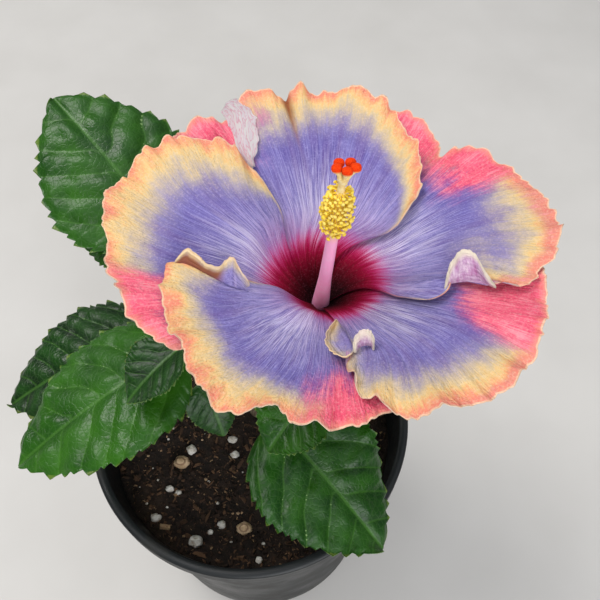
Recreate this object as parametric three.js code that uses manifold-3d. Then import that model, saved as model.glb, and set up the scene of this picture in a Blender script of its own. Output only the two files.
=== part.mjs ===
// A small potted tropical hibiscus: one plant with a single very large bloom, serrate leaves
// in groups, and a round nursery pot filled with bark mix.
// Millimetres, +Z up. The origin is the centre of the pot's flat underside, and the bloom
// leans to +X and -Y of the stem.

import * as THREE from 'three';
import { mergeVertices } from 'three/addons/utils/BufferGeometryUtils.js';
import Module from 'manifold-3d';

const wasm = await Module();
wasm.setup();

// Driving dimensions
const CLEAR = 0.3;                 // gap between pieces that touch
const POT_HEIGHT = 200;
const RIM_RADIUS = 105;
const RIM_DEPTH = 13;              // height of the rolled lip's skirt
const LIP_WIDTH = 6;
const POT_TOP_RADIUS = 99;         // body just under the lip
const POT_FOOT_RADIUS = 87.5;
const POT_WALL = 2.6;
const POT_FLOOR = 4;
const POT_SIDES = 32;
const DRAIN_COUNT = 6;
const DRAIN_RADIUS = 6;
const DRAIN_CIRCLE = 62;
const SOIL_LEVEL = 172;

const BLOOM = new THREE.Vector3(42, -16, 350);   // bottom of the bloom's throat
const CUP_HEIGHT = 39;             // how high the funnel opens before the limb is level
const CUP_RADIUS = 30;
const LIMB_RISE = 0.08;
const PETAL_THICKNESS = 1.15;
const PETAL_COUNT = 5;
const PETAL_STEP = 360 / PETAL_COUNT;
const FIRST_PETAL = 38;            // direction of the first petal's base, degrees from +X
const BASE_RADIUS = 5.2;           // where the petals start, round the column
const BASE_HALF_ANGLE = 34;
const TWIST_START = 9;             // radii between which a petal swings out over its neighbour
const TWIST_END = 36;
const PETAL_ROWS = 8;
const PETAL_COLUMNS = 22;

const COLUMN_LENGTH = 79;
const COLUMN_LEAN = new THREE.Vector3(6.6, -1.2, 91);
const STYLE_LENGTH = 91;
const COLUMN_FOOT_RADIUS = 3.7;
const COLUMN_TIP_RADIUS = 1.7;
const ANTHER_START = 52;
const ANTHER_ROWS = 5;
const ANTHERS_IN_ROW = 7;
const ANTHER_SPREAD = 6.2;
const ANTHER_RADIUS = 1.7;
const PAD_COUNT = 5;
const PAD_RADIUS = 2.5;
const PAD_CIRCLE = 3.5;

const CALYX_DEPTH = 26;
const CALYX_RADIUS = 12;
const CALYX_LOBE = 9;
const BRACT_COUNT = 7;
const BRACT_LENGTH = 17;
const BRACT_RADII = [1.2, 1.1, 0.3];

const LEAF_ROWS = 6;
const LEAF_COLUMNS = 4;
const LEAF_THICKNESS = 1.15;
const LEAF_TRIM = 0.012;           // share of the length where each end of the blade is cut blunt
const PETIOLE_RADIUS = 1.25;

const DEGREE = Math.PI / 180;
const UP = new THREE.Vector3(0, 0, 1);

const material = (color, roughness, metalness = 0) => new THREE.MeshStandardMaterial({
  color, roughness, metalness, side: THREE.DoubleSide,
});
const POT_PLASTIC = material(0x1d2228, 0.5);
const SOIL = material(0x2c1e15, 0.95);
const BARK = material(0x7a6248, 0.85);
const GREEN_STEM = material(0x5c7a34, 0.6);
const LEAF_GREEN = material(0x1f5a20, 0.35);
const PETAL_LAVENDER = material(0x8377bd, 0.6);
const COLUMN_PINK = material(0xd282a5, 0.5);
const STIGMA_ORANGE = material(0xed400d, 0.45);

// Small helpers

const vec = (x, y, z) => new THREE.Vector3(x, y, z);

function smooth(x) {
  const t = Math.min(Math.max(x, 0), 1);
  return t * t * (3 - 2 * t);
}

// The same seed always gives the same plant.
function seeded(seed) {
  let state = seed;
  return () => {
    state = (state + 0x6d2b79f5) | 0;
    let t = Math.imul(state ^ (state >>> 15), 1 | state);
    t = (t + Math.imul(t ^ (t >>> 7), 61 | t)) ^ t;
    return ((t ^ (t >>> 14)) >>> 0) / 4294967296;
  };
}

function solidFrom(geometry) {
  const bare = geometry.clone();
  for (const name of Object.keys(bare.attributes)) {
    if (name !== 'position') bare.deleteAttribute(name);
  }
  const merged = mergeVertices(bare, 1e-4);
  return new wasm.Manifold(new wasm.Mesh({
    numProp: 3,
    vertProperties: Float32Array.from(merged.attributes.position.array),
    triVerts: Uint32Array.from(merged.index.array),
  }));
}

function geometryFrom(solid) {
  const mesh = solid.getMesh();
  const geometry = new THREE.BufferGeometry();
  const places = Float32Array.from(mesh.vertProperties);
  geometry.setAttribute('position', new THREE.BufferAttribute(places, 3));
  geometry.setIndex(new THREE.BufferAttribute(Uint32Array.from(mesh.triVerts), 1));
  return geometry;
}

const joined = (solids) => solids.reduce((whole, piece) => whole.add(piece));

// A closed skin from rings of points: each ring has the same number of points, and the two
// ends are closed by a fan.
function skin(rings) {
  const sides = rings[0].length;
  const points = rings.flat();
  const faces = [];
  for (let i = 0; i + 1 < rings.length; i += 1) {
    for (let j = 0; j < sides; j += 1) {
      const next = (j + 1) % sides;
      const a = i * sides + j;
      const b = i * sides + next;
      faces.push([a, b, b + sides], [a, b + sides, a + sides]);
    }
  }
  const last = (rings.length - 1) * sides;
  for (let j = 1; j + 1 < sides; j += 1) {
    faces.push([0, j + 1, j], [last, last + j, last + j + 1]);
  }
  return facesToGeometry(points, faces);
}

function facesToGeometry(points, faces) {
  const geometry = new THREE.BufferGeometry();
  const places = points.flatMap((p) => [p.x, p.y, p.z]);
  geometry.setAttribute('position', new THREE.Float32BufferAttribute(places, 3));
  geometry.setIndex(faces.flat());
  return geometry;
}

// A tapering limb along a smooth path, closed by flat ends.
function limb(path, radii, sides = 8, steps = 6, level = false) {
  const curve = new THREE.CatmullRomCurve3(path, false, 'centripetal');
  const rings = [];
  for (let i = 0; i <= steps; i += 1) {
    const t = i / steps;
    const centre = curve.getPoint(t);
    const along = level && i === 0 ? UP.clone() : curve.getTangent(t);
    const side = new THREE.Vector3().crossVectors(along, vec(0.31, 0.94, 0.13)).normalize();
    const other = new THREE.Vector3().crossVectors(along, side);
    const span = t * (radii.length - 1);
    const k = Math.min(Math.floor(span), radii.length - 2);
    const radius = THREE.MathUtils.lerp(radii[k], radii[k + 1], span - k);
    const ring = [];
    for (let j = 0; j < sides; j += 1) {
      const angle = (j / sides) * 2 * Math.PI;
      ring.push(centre.clone()
        .addScaledVector(side, radius * Math.cos(angle))
        .addScaledVector(other, radius * Math.sin(angle)));
    }
    rings.push(ring);
  }
  return skin(rings);
}

// A closed sheet of even thickness about a grid of points, rows[i][j].
function sheet(rows, thickness) {
  const rowCount = rows.length;
  const columnCount = rows[0].length;
  const top = [];
  const bottom = [];
  for (let i = 0; i < rowCount; i += 1) {
    for (let j = 0; j < columnCount; j += 1) {
      const alongRow = rows[i][Math.min(j + 1, columnCount - 1)].clone()
        .sub(rows[i][Math.max(j - 1, 0)]);
      const alongColumn = rows[Math.min(i + 1, rowCount - 1)][j].clone()
        .sub(rows[Math.max(i - 1, 0)][j]);
      const normal = new THREE.Vector3().crossVectors(alongColumn, alongRow).normalize();
      top.push(rows[i][j].clone().addScaledVector(normal, thickness / 2));
      bottom.push(rows[i][j].clone().addScaledVector(normal, -thickness / 2));
    }
  }
  const count = top.length;
  const at = (i, j) => i * columnCount + j;
  const faces = [];
  for (let i = 0; i + 1 < rowCount; i += 1) {
    for (let j = 0; j + 1 < columnCount; j += 1) {
      const [a, b, c, d] = [at(i, j), at(i + 1, j), at(i + 1, j + 1), at(i, j + 1)];
      faces.push([a, b, c], [a, c, d]);
      faces.push([count + a, count + c, count + b], [count + a, count + d, count + c]);
    }
  }
  const border = [];
  const lastRow = rowCount - 1;
  const lastColumn = columnCount - 1;
  for (let j = 0; j < lastColumn; j += 1) {
    border.push([at(0, j + 1), at(0, j)], [at(lastRow, j), at(lastRow, j + 1)]);
  }
  for (let i = 0; i < lastRow; i += 1) {
    border.push([at(i, 0), at(i + 1, 0)], [at(i + 1, lastColumn), at(i, lastColumn)]);
  }
  for (const [a, b] of border) faces.push([b, a, count + a], [b, count + a, count + b]);
  return facesToGeometry([...top, ...bottom], faces);
}

// Pot and soil

function potGeometry() {
  const lipFoot = POT_HEIGHT - RIM_DEPTH;
  const profile = [
    [0, 0], [POT_FOOT_RADIUS - 1.5, 0], [POT_FOOT_RADIUS, 2], [POT_TOP_RADIUS, lipFoot],
    [RIM_RADIUS - 1, lipFoot], [RIM_RADIUS, lipFoot + 1.5], [RIM_RADIUS, POT_HEIGHT - 2],
    [RIM_RADIUS - 1.5, POT_HEIGHT], [RIM_RADIUS - LIP_WIDTH, POT_HEIGHT],
    [RIM_RADIUS - LIP_WIDTH - 1, POT_HEIGHT - 1.5],
    [POT_TOP_RADIUS - POT_WALL, lipFoot - 4], [POT_FOOT_RADIUS - POT_WALL, POT_FLOOR], [0, POT_FLOOR],
  ].map(([r, z]) => new THREE.Vector2(r, z));
  const body = new THREE.LatheGeometry(profile, POT_SIDES).rotateX(Math.PI / 2);
  let solid = solidFrom(body);
  for (let i = 0; i < DRAIN_COUNT; i += 1) {
    const angle = (i + 0.5) * (2 * Math.PI / DRAIN_COUNT);
    const hole = new THREE.CylinderGeometry(DRAIN_RADIUS, DRAIN_RADIUS, 3 * POT_FLOOR, 12)
      .rotateX(Math.PI / 2)
      .translate(DRAIN_CIRCLE * Math.cos(angle), DRAIN_CIRCLE * Math.sin(angle), POT_FLOOR / 2);
    solid = solid.subtract(solidFrom(hole));
  }
  return geometryFrom(solid);
}

const potInside = (z) => POT_FOOT_RADIUS - POT_WALL
  + (POT_TOP_RADIUS - POT_FOOT_RADIUS) * (z - POT_FLOOR) / (POT_HEIGHT - RIM_DEPTH - 4 - POT_FLOOR);

function soilGeometry() {
  const foot = POT_FLOOR + CLEAR;
  const profile = [
    [0, foot], [potInside(foot) - 2 * CLEAR, foot], [potInside(SOIL_LEVEL - 3) - 2 * CLEAR, SOIL_LEVEL - 3],
    [80, SOIL_LEVEL - 1], [45, SOIL_LEVEL], [0, SOIL_LEVEL],
  ].map(([r, z]) => new THREE.Vector2(r, z));
  return new THREE.LatheGeometry(profile, POT_SIDES).rotateX(Math.PI / 2);
}

// Limbs. The trunk stands on the soil, and each bough leaves it and ends in its own mass.

const TRUNK_PATH = [vec(4, 16, SOIL_LEVEL + CLEAR), vec(5, 15, 205), vec(9, 11, 246)];
const TRUNK_RADII = [8.5, 6, 5.4, 5.1, 4.9, 4.6, 4.3];
const FORK = TRUNK_PATH[2];
const STALK_FOOT = vec(30, -6, 306);
const BOUGHS = {
  bough_centre: {
    path: [vec(9.05, 10.95, 246 + CLEAR), vec(17, 5, 280), STALK_FOOT],
    radii: [4.2, 3.4, 2.8],
  },
  bough_left: {
    path: [vec(5, 15, 212), vec(-9, 12, 246), vec(-20, 7.5, 268), vec(-23.5, 6, 279)],
    radii: [3.2, 2.9, 2.5, 2.3],
  },
  bough_right: { path: [vec(7, 13, 222), vec(26, 17, 248), vec(46, 19, 268)], radii: [3.2, 2.7, 2.2] },
  bough_back: { path: [vec(7, 13, 228), vec(3, 30, 252), vec(-6, 40, 286)], radii: [3.2, 2.8, 2.2] },
};

function trunkSolid() {
  return solidFrom(limb(TRUNK_PATH, TRUNK_RADII, 12, 12, true));
}

// The trunk a little swollen, to keep what grows from it clear of it.
function trunkClearance() {
  return solidFrom(limb(TRUNK_PATH, TRUNK_RADII.map((r) => r + CLEAR), 12, 12, true));
}

// Leaves: a broad pointed blade, folded along its midrib, with a wavy toothed margin

const leafWidth = (t) => 2.435 * Math.pow(t, 0.5) * Math.pow(1 - t, 0.85);

// The blade's frame: its length, and the directions along it, across it and out of its face
function leafFrame(leaf) {
  const along = leaf.tip.clone().sub(leaf.base);
  const length = along.length();
  along.divideScalar(length);
  const level = new THREE.Vector3().crossVectors(along, UP).normalize();
  const side = level.clone().applyAxisAngle(along, leaf.roll * DEGREE);
  const normal = new THREE.Vector3().crossVectors(side, along).normalize();
  return { along, side, normal, length };
}

function leafPoint(leaf, frame, t, v) {
  const half = 0.5 * leaf.width * leafWidth(t);
  const arch = leaf.arch * frame.length * 4 * t * (1 - t);
  const fold = leaf.fold * half * Math.pow(Math.abs(v), 1.3);
  const wave = 0.035 * leaf.width * v * v * Math.sin(9 * t + (v > 0 ? 1.2 : 3.4) + leaf.width);
  return leaf.base.clone()
    .addScaledVector(frame.along, t * frame.length)
    .addScaledVector(frame.side, half * v)
    .addScaledVector(frame.normal, arch + fold + wave);
}

function leafSolid(leaf) {
  const frame = leafFrame(leaf);
  const rows = [];
  for (let i = 0; i <= LEAF_ROWS; i += 1) {
    const t = THREE.MathUtils.lerp(LEAF_TRIM, 1 - LEAF_TRIM, i / LEAF_ROWS);
    const row = [];
    for (let j = 0; j <= LEAF_COLUMNS; j += 1) {
      row.push(leafPoint(leaf, frame, t, 1 - (2 * j) / LEAF_COLUMNS));
    }
    rows.push(row);
  }
  const blade = solidFrom(sheet(rows, LEAF_THICKNESS));
  const sink = leafPoint(leaf, frame, 0.09, 0);
  const heel = leafPoint(leaf, frame, 0.02, 0);
  const middle = leaf.root.clone().lerp(heel, 0.6).addScaledVector(UP, 0.08 * leaf.root.distanceTo(heel));
  const petiole = solidFrom(limb([leaf.root, middle, heel, sink], [1.2, 1, 1, 0.85]
    .map((k) => k * PETIOLE_RADIUS), 4, 3));
  return blade.add(petiole);
}

// Each mass has one stem. It carries the leaves that show in the open, and leaves that a
// seeded rule fans out from the stem, away from the middle of the plant and under the bloom.
const leaf = (root, base, tip, width, roll, fold, arch) => ({ root, base, tip, width, roll, fold, arch });

const MASSES = [
  {
    name: 'foliage_left',
    stem: [vec(-23.6, 5.95, 279.35), vec(-26.6, 4.8, 289), vec(-28.5, 5.5, 300)],
    radii: [2.2, 1.7, 1.2],
    leaves: [
      leaf(vec(-25.3, 5.3, 285), vec(-33, -3, 291), vec(-122, -58, 256), 80, 4, -0.1, 0.05),
      leaf(vec(-24.2, 5.7, 281.5), vec(-56, 19, 273), vec(-142, -14, 240), 72, -4, -0.08, 0.06),
      leaf(vec(-28.3, 5.4, 298.5), vec(-29, -13, 309), vec(-56, -39, 296), 36, 8, 0.15, 0.06),
    ],
    fan: null,
  },
  {
    name: 'foliage_upper_left',
    stem: [vec(-6.2, 40.2, 286.3), vec(-12, 44, 300), vec(-17, 47, 312)],
    radii: [2.1, 1.7, 1.2],
    leaves: [
      leaf(vec(-16, 46, 309), vec(-40, 50, 325), vec(-106, 118, 362), 88, -6, -0.12, 0.06),
    ],
    fan: { count: 2, from: 92, to: 172, length: 60, reach: 14, rise: -8, seed: 11 },
  },
  {
    name: 'foliage_front',
    stem: [vec(9.6, 4.6, 238), vec(14, -12, 250), vec(22, -26, 262)],
    radii: [1.9, 1.6, 1.2],
    leaves: [
      leaf(vec(13, -9, 248), vec(18, -32, 258), vec(80, -94, 222), 69, 0, -0.1, 0.06),
      leaf(vec(22, -25, 261), vec(38, -30, 286), vec(16, -56, 272), 42, 0, 0.1, 0.07),
    ],
    fan: null,
  },
  {
    name: 'foliage_low',
    stem: [vec(0.2, 9, 222), vec(-7, 3, 234), vec(-13, -3, 246)],
    radii: [1.8, 1.5, 1.2],
    leaves: [
      leaf(vec(-12, -2, 243), vec(-23, -9, 262), vec(-12, -33, 237), 31, 0, -0.1, 0.06),
    ],
    fan: null,
  },
  {
    name: 'foliage_right',
    stem: [vec(46.3, 19.1, 268.3), vec(57, 18, 284), vec(62, 16, 302)],
    radii: [2.1, 1.7, 1.2],
    leaves: [],
    fan: { count: 4, from: -28, to: 50, length: 72, reach: 16, rise: -8, seed: 23 },
  },
  {
    name: 'foliage_back',
    stem: [vec(11.9, 17.4, 240), vec(20, 33, 262), vec(26, 42, 288)],
    radii: [1.9, 1.6, 1.2],
    leaves: [],
    fan: { count: 4, from: 48, to: 128, length: 72, reach: 16, rise: -6, seed: 37 },
  },
  {
    name: 'foliage_top',
    stem: [vec(27.4, 0.9, 300.2), vec(32, 9, 314), vec(36, 16, 334)],
    radii: [1.6, 1.4, 1.1],
    leaves: [],
    fan: { count: 4, from: 8, to: 165, length: 52, reach: 12, rise: 4, seed: 51 },
  },
];

function fanLeaves(mass) {
  const rule = mass.fan;
  if (!rule) return [];
  const random = seeded(rule.seed);
  const curve = new THREE.CatmullRomCurve3(mass.stem, false, 'centripetal');
  return Array.from({ length: rule.count }, (_, i) => {
    const share = i / (rule.count - 1);
    const root = curve.getPoint(0.3 + 0.65 * share);
    const azimuth = (rule.from + (rule.to - rule.from) * share + 8 * (random() - 0.5)) * DEGREE;
    const outward = vec(Math.cos(azimuth), Math.sin(azimuth), 0);
    const length = rule.length * (0.88 + 0.24 * random());
    const base = root.clone().addScaledVector(outward, rule.reach).addScaledVector(UP, 0.4 * rule.reach);
    const tip = base.clone().addScaledVector(outward, length)
      .addScaledVector(UP, rule.rise - 0.06 * length * random());
    return leaf(root, base, tip, 0.74 * length, 14 * (random() - 0.5), -0.08, 0.06);
  });
}

function massSolid(mass) {
  const stem = solidFrom(limb(mass.stem, mass.radii, 6, 3));
  const leaves = [...mass.leaves, ...fanLeaves(mass)].map(leafSolid);
  return joined([stem, ...leaves]);
}

// Bloom. All five petals share one funnel and one set of ruffles. Each swings over its
// clockwise neighbour, held up on that side and down on the other.

const limbHeight = (r) => CUP_HEIGHT * (1 - Math.exp(-r / CUP_RADIUS)) + LIMB_RISE * r;
const pinwheel = (r) => 1.3 + 2.2 * smooth((r - 10) / 40);
const ruffle = (r, angle) => 1.8 * smooth((r - 45) / 50)
  * (0.6 * Math.sin(11 * angle + 0.4) + 0.4 * Math.sin(17 * angle + 2.1));

// Margins as [degrees from +X, radius], from the low side of each petal to the side that
// lies under the next one. vault: [place along the margin, half width, height].
const PETALS = [
  {
    name: 'petal_right',
    lift: 0,
    vault: [-0.62, 0.14, 13],
    margin: [[-26.5, 37], [-25.5, 46], [-20, 52], [-14, 59], [-13.3, 68], [-12.5, 77], [-11, 84.5],
      [-6.5, 88], [-2.5, 93], [3.5, 97.5], [11, 99], [19, 99.5], [27, 98.5], [35, 95],
      [40.5, 90.5], [43.5, 85], [45.5, 79], [49, 85], [54.5, 90], [64, 95.5], [74, 86], [80, 66]],
  },
  {
    name: 'petal_back',
    lift: 6,
    vault: [0.42, 0.1, 0],
    margin: [[30.8, 39], [35, 48], [39, 57], [46.5, 65], [54.5, 74.5], [63.5, 83], [72.5, 90], [81.5, 93],
      [90, 93.5], [96.7, 93.5], [101, 89.5], [105, 94.5], [112, 96.5], [120, 91.5], [127.5, 94],
      [135, 94], [147, 76]],
  },
  {
    name: 'petal_left',
    lift: 0,
    vault: [0, 0.1, 0],
    margin: [[119.5, 38], [120.5, 48], [121.7, 60], [123.5, 70], [127.5, 80.5], [133.5, 86], [138.5, 93],
      [145.5, 96.5], [153.5, 97.5], [160.5, 97], [168, 93.5], [176.5, 90.5], [184.5, 88], [191.5, 83.5],
      [200, 81.5], [208, 76.5], [215, 70], [223, 58]],
  },
  {
    name: 'petal_front_left',
    lift: 3,
    vault: [-0.78, 0.16, 5],
    margin: [[180, 37], [181.5, 46], [183, 55], [187, 61.5], [196.5, 66], [208.5, 69], [219.5, 70],
      [227.5, 74.5], [235, 76.5], [241.5, 80], [247.5, 77.5], [252.5, 72.5], [257.5, 72.5], [262, 76.5],
      [270, 76.5], [277, 76], [283, 74], [289, 72.5], [296, 70], [306, 54]],
  },
  {
    name: 'petal_front_right',
    lift: 0,
    vault: [-0.95, 0.14, 4],
    margin: [[272.5, 37], [275, 43.5], [278.5, 48], [280, 54], [281.5, 60], [283.5, 65.5], [286.5, 70.5],
      [289.5, 76.5], [293.5, 80.5], [298, 80.5], [301.5, 83], [305, 84.5], [309, 86], [313, 89], [319, 91.5],
      [326.5, 91], [333, 90.5], [340, 91], [348, 90.5], [354, 89.5], [360, 83], [364, 66]],
  },
];

function petalPoint(petal, outline, baseAngle, s, u) {
  const end = outline.getPoint((s + 1) / 2);
  const r = BASE_RADIUS + (end.y - BASE_RADIUS) * u;
  const start = baseAngle + BASE_HALF_ANGLE * s;
  const angle = (start + (end.x - start) * smooth((r - TWIST_START) / (TWIST_END - TWIST_START))) * DEGREE;
  const [place, half, height] = petal.vault;
  const arch = height * Math.pow(smooth(1 - Math.abs(s - place) / half), 0.7) * smooth((u - 0.78) / 0.22);
  const lift = petal.lift * smooth(1 - (s - 0.1) / 0.8) * Math.pow(r / 95, 2);
  const z = limbHeight(r) - pinwheel(r) * s + lift + ruffle(r, angle) + arch;
  return vec(BLOOM.x + r * Math.cos(angle), BLOOM.y + r * Math.sin(angle), BLOOM.z + z);
}

function petalGeometry(petal, index) {
  const outline = new THREE.SplineCurve(petal.margin.map(([a, r]) => new THREE.Vector2(a, r)));
  const baseAngle = FIRST_PETAL + PETAL_STEP * index;
  const rows = [];
  for (let i = 0; i <= PETAL_ROWS; i += 1) {
    const row = [];
    for (let j = 0; j <= PETAL_COLUMNS; j += 1) {
      row.push(petalPoint(petal, outline, baseAngle, -1 + (2 * j) / PETAL_COLUMNS, i / PETAL_ROWS));
    }
    rows.push(row);
  }
  return sheet(rows, PETAL_THICKNESS);
}

// Calyx: a five-lobed cup that follows the underside of the funnel, with slender bracts
const cupTop = (r) => BLOOM.z + limbHeight(r) - pinwheel(r) - 1.7 * PETAL_THICKNESS;

function calyxSolid() {
  const sides = 20;
  const rim = (angle) => CALYX_RADIUS + CALYX_LOBE
    * Math.pow(Math.abs(Math.cos(0.5 * PETAL_COUNT * (angle - FIRST_PETAL * DEGREE))), 1.5);
  const ring = (radiusAt, heightAt) => Array.from({ length: sides }, (_, j) => {
    const angle = (j / sides) * 2 * Math.PI;
    const r = radiusAt(angle);
    return vec(BLOOM.x + r * Math.cos(angle), BLOOM.y + r * Math.sin(angle), heightAt(r));
  });
  const foot = BLOOM.z - CALYX_DEPTH;
  const outside = (r) => Math.min(cupTop(r) - 1.2, cupTop(r) - 0.75 * (CALYX_RADIUS - r));
  const cup = solidFrom(skin([
    ring(() => 2.4, () => foot),
    ring(() => 5, () => foot + 5),
    ring(() => 7.4, () => foot + 13),
    ring(() => 9, () => outside(9)),
    ring(rim, outside),
    ring(rim, cupTop),
    ring(() => 8, cupTop),
    ring(() => 2, cupTop),
  ]));
  const bracts = Array.from({ length: BRACT_COUNT }, (_, i) => {
    const angle = (i / BRACT_COUNT) * 2 * Math.PI;
    const out = vec(Math.cos(angle), Math.sin(angle), 0);
    const root = vec(BLOOM.x, BLOOM.y, foot + 3).addScaledVector(out, 2.5);
    const tip = root.clone()
      .addScaledVector(out, 0.75 * BRACT_LENGTH)
      .addScaledVector(UP, 0.6 * BRACT_LENGTH);
    const sag = root.clone().lerp(tip, 0.5).addScaledVector(UP, -1.5);
    return solidFrom(limb([root, sag, tip], BRACT_RADII, 4, 2));
  });
  return joined([cup, ...bracts]);
}

// Column: a tapering tube with a head of anthers, and the style with its five pads above it
const axisPoint = (height) => BLOOM.clone().addScaledVector(COLUMN_LEAN, height / STYLE_LENGTH);

function columnSolid() {
  const foot = cupTop(COLUMN_FOOT_RADIUS) - BLOOM.z + 2 * CLEAR;
  const path = [axisPoint(foot), axisPoint(25), axisPoint(50), axisPoint(COLUMN_LENGTH)];
  const tube = solidFrom(limb(path, [COLUMN_FOOT_RADIUS, 2.6, 2.1, COLUMN_TIP_RADIUS], 10, 9));
  const half = 0.5 * (COLUMN_LENGTH - ANTHER_START) - CLEAR;
  const middle = axisPoint(COLUMN_LENGTH - CLEAR - half);
  const head = solidFrom(new THREE.SphereGeometry(1, 8, 7).rotateX(Math.PI / 2)
    .scale(ANTHER_SPREAD, ANTHER_SPREAD, half).translate(middle.x, middle.y, middle.z));
  const anthers = [];
  for (let i = 0; i < ANTHER_ROWS; i += 1) {
    const rise = 1.5 * (i / (ANTHER_ROWS - 1)) - 0.75;
    const spread = 0.92 * ANTHER_SPREAD * Math.sqrt(1 - rise * rise);
    for (let j = 0; j < ANTHERS_IN_ROW; j += 1) {
      const angle = ((j + 0.5 * (i % 2)) / ANTHERS_IN_ROW) * 2 * Math.PI;
      const centre = middle.clone().add(vec(spread * Math.cos(angle), spread * Math.sin(angle), half * rise));
      anthers.push(solidFrom(new THREE.OctahedronGeometry(ANTHER_RADIUS, 0)
        .translate(centre.x, centre.y, centre.z)));
    }
  }
  return joined([tube, head, ...anthers]);
}

function styleSolid() {
  const foot = axisPoint(COLUMN_LENGTH + CLEAR);
  const head = axisPoint(STYLE_LENGTH - 6);
  const pieces = [solidFrom(limb([foot, foot.clone().lerp(head, 0.5), head], [1.4, 1.3, 1.7], 8, 3))];
  for (let i = 0; i < PAD_COUNT; i += 1) {
    const angle = (i / PAD_COUNT) * 2 * Math.PI + 0.35;
    const pad = axisPoint(STYLE_LENGTH - 1.6)
      .add(vec(PAD_CIRCLE * Math.cos(angle), PAD_CIRCLE * Math.sin(angle), 0));
    const root = axisPoint(STYLE_LENGTH - 8);
    pieces.push(solidFrom(limb([root, root.clone().lerp(pad, 0.6), pad], [0.9, 0.8, 0.8], 4, 2)));
    pieces.push(solidFrom(new THREE.SphereGeometry(PAD_RADIUS, 6, 4)
      .rotateX(Math.PI / 2).scale(1, 1, 0.5).translate(pad.x, pad.y, pad.z)));
  }
  return joined(pieces);
}

// The whole plant

const plant = new THREE.Group();

function place(name, geometry, look) {
  const mesh = new THREE.Mesh(geometry, look);
  mesh.name = name;
  plant.add(mesh);
}

place('pot', potGeometry(), POT_PLASTIC);
place('soil', soilGeometry(), SOIL);
place('trunk', geometryFrom(trunkSolid()), BARK);

const clearance = trunkClearance();
for (const [name, { path, radii }] of Object.entries(BOUGHS)) {
  const bough = solidFrom(limb(path, radii, 8, 6));
  place(name, geometryFrom(bough.subtract(clearance)), BARK);
}

const stalkTop = vec(BLOOM.x, BLOOM.y, BLOOM.z - CALYX_DEPTH - 2 * CLEAR);
const stalkBend = vec(BLOOM.x - 0.4, BLOOM.y + 0.3, BLOOM.z - CALYX_DEPTH - 6);
const stalkFoot = STALK_FOOT.clone().add(vec(0.6, -0.5, 2 * CLEAR));
place('flower_stalk', limb([stalkFoot, stalkBend, stalkTop], [2.4, 2.1, 2.3], 8, 6), GREEN_STEM);
place('calyx', geometryFrom(calyxSolid()), GREEN_STEM);
PETALS.forEach((petal, index) => place(petal.name, petalGeometry(petal, index), PETAL_LAVENDER));
place('staminal_column', geometryFrom(columnSolid()), COLUMN_PINK);
place('style', geometryFrom(styleSolid()), STIGMA_ORANGE);

for (const mass of MASSES) {
  place(mass.name, geometryFrom(massSolid(mass).subtract(clearance)), LEAF_GREEN);
}

export default plant;
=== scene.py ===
from math import cos, hypot, pi, radians, sin, sqrt, tau

import bpy
import numpy as np
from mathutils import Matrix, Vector


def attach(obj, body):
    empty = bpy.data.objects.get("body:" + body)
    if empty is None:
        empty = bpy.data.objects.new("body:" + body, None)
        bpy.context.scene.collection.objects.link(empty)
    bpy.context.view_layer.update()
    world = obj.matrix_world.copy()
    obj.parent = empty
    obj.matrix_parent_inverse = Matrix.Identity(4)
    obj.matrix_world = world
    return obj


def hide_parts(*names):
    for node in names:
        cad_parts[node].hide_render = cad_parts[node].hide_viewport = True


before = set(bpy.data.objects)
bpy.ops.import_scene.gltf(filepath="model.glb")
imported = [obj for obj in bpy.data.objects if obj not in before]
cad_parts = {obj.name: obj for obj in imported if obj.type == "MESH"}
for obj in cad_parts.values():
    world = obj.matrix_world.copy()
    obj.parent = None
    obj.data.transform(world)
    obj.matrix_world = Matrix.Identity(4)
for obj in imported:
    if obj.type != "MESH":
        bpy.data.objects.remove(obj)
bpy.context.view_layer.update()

# A small potted tropical hibiscus. Lengths are in millimetres until a mesh is made.
MM = 0.001
UP = np.array([0.0, 0.0, 1.0])

# Pot and soil
POT_HEIGHT = 200
RIM_RADIUS = 105
RIM_DEPTH = 13              # height of the rolled lip's skirt
LIP_WIDTH = 6
LIP_ROUND = 1.8             # height of the round of the lip's top
POT_TOP_RADIUS = 99         # body just under the lip
POT_FOOT_RADIUS = 87.5
POT_WALL = 2.6
POT_FLOOR = 4
FOOT_ROUND = 2              # radius of the edge that the pot stands on
FOOT_RECESS = 1.5           # how far the middle of the underside is raised
DRAIN_COUNT = 6
DRAIN_RADIUS = 6
DRAIN_CIRCLE = 62
SOIL_LEVEL = 172
SOIL_RADIUS = 95.3
SOIL_FOOT = 60              # the bed is made down to this height
CHIP_COUNT = 6500
CHIP_REACH = 93
GRAIN_COUNT = 120
GRAIN_REACH = 88
STEM_CLEAR = 13             # chips and grains keep this far from the stem's axis

# Bloom
BLOOM = np.array([42.0, -16.0, 350.0])   # bottom of the bloom's throat
CUP_HEIGHT = 39             # how high the funnel opens before the limb is level
CUP_RADIUS = 30
LIMB_RISE = 0.08
PETAL_THICKNESS = 0.42
RIM_THICKNESS = 0.26
FOLD_THICKNESS = 0.34
PETAL_STEP = 72
FIRST_PETAL = 38            # direction of the first petal's base, degrees from +X
BASE_RADIUS = 3.4           # where the petals start, round the column
BASE_HALF_ANGLE = 42
TWIST_START = 9             # radii between which a petal swings out over its neighbour
TWIST_END = 36
PETAL_ROWS = 84
PETAL_COLUMNS = 190
PATTERN_STEP = 3.7          # how far apart in the noise the patterns of two petals lie

COLUMN_LENGTH = 79
COLUMN_LEAN = np.array([6.6, -1.2, 91.0])
STYLE_LENGTH = 91
COLUMN_FOOT_RADIUS = 4.2
ANTHER_START = 57
ANTHER_COUNT = 230
ANTHER_SPREAD = 6.0
PAD_COUNT = 5
PAD_RADIUS = 2.0
PAD_CIRCLE = 3.5
PAD_TURN = -85
PAD_LEAN = 17

CALYX_DEPTH = 26
CALYX_RADIUS = 12
CALYX_LOBE = 9
BRACT_COUNT = 7
BRACT_LENGTH = 17

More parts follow.
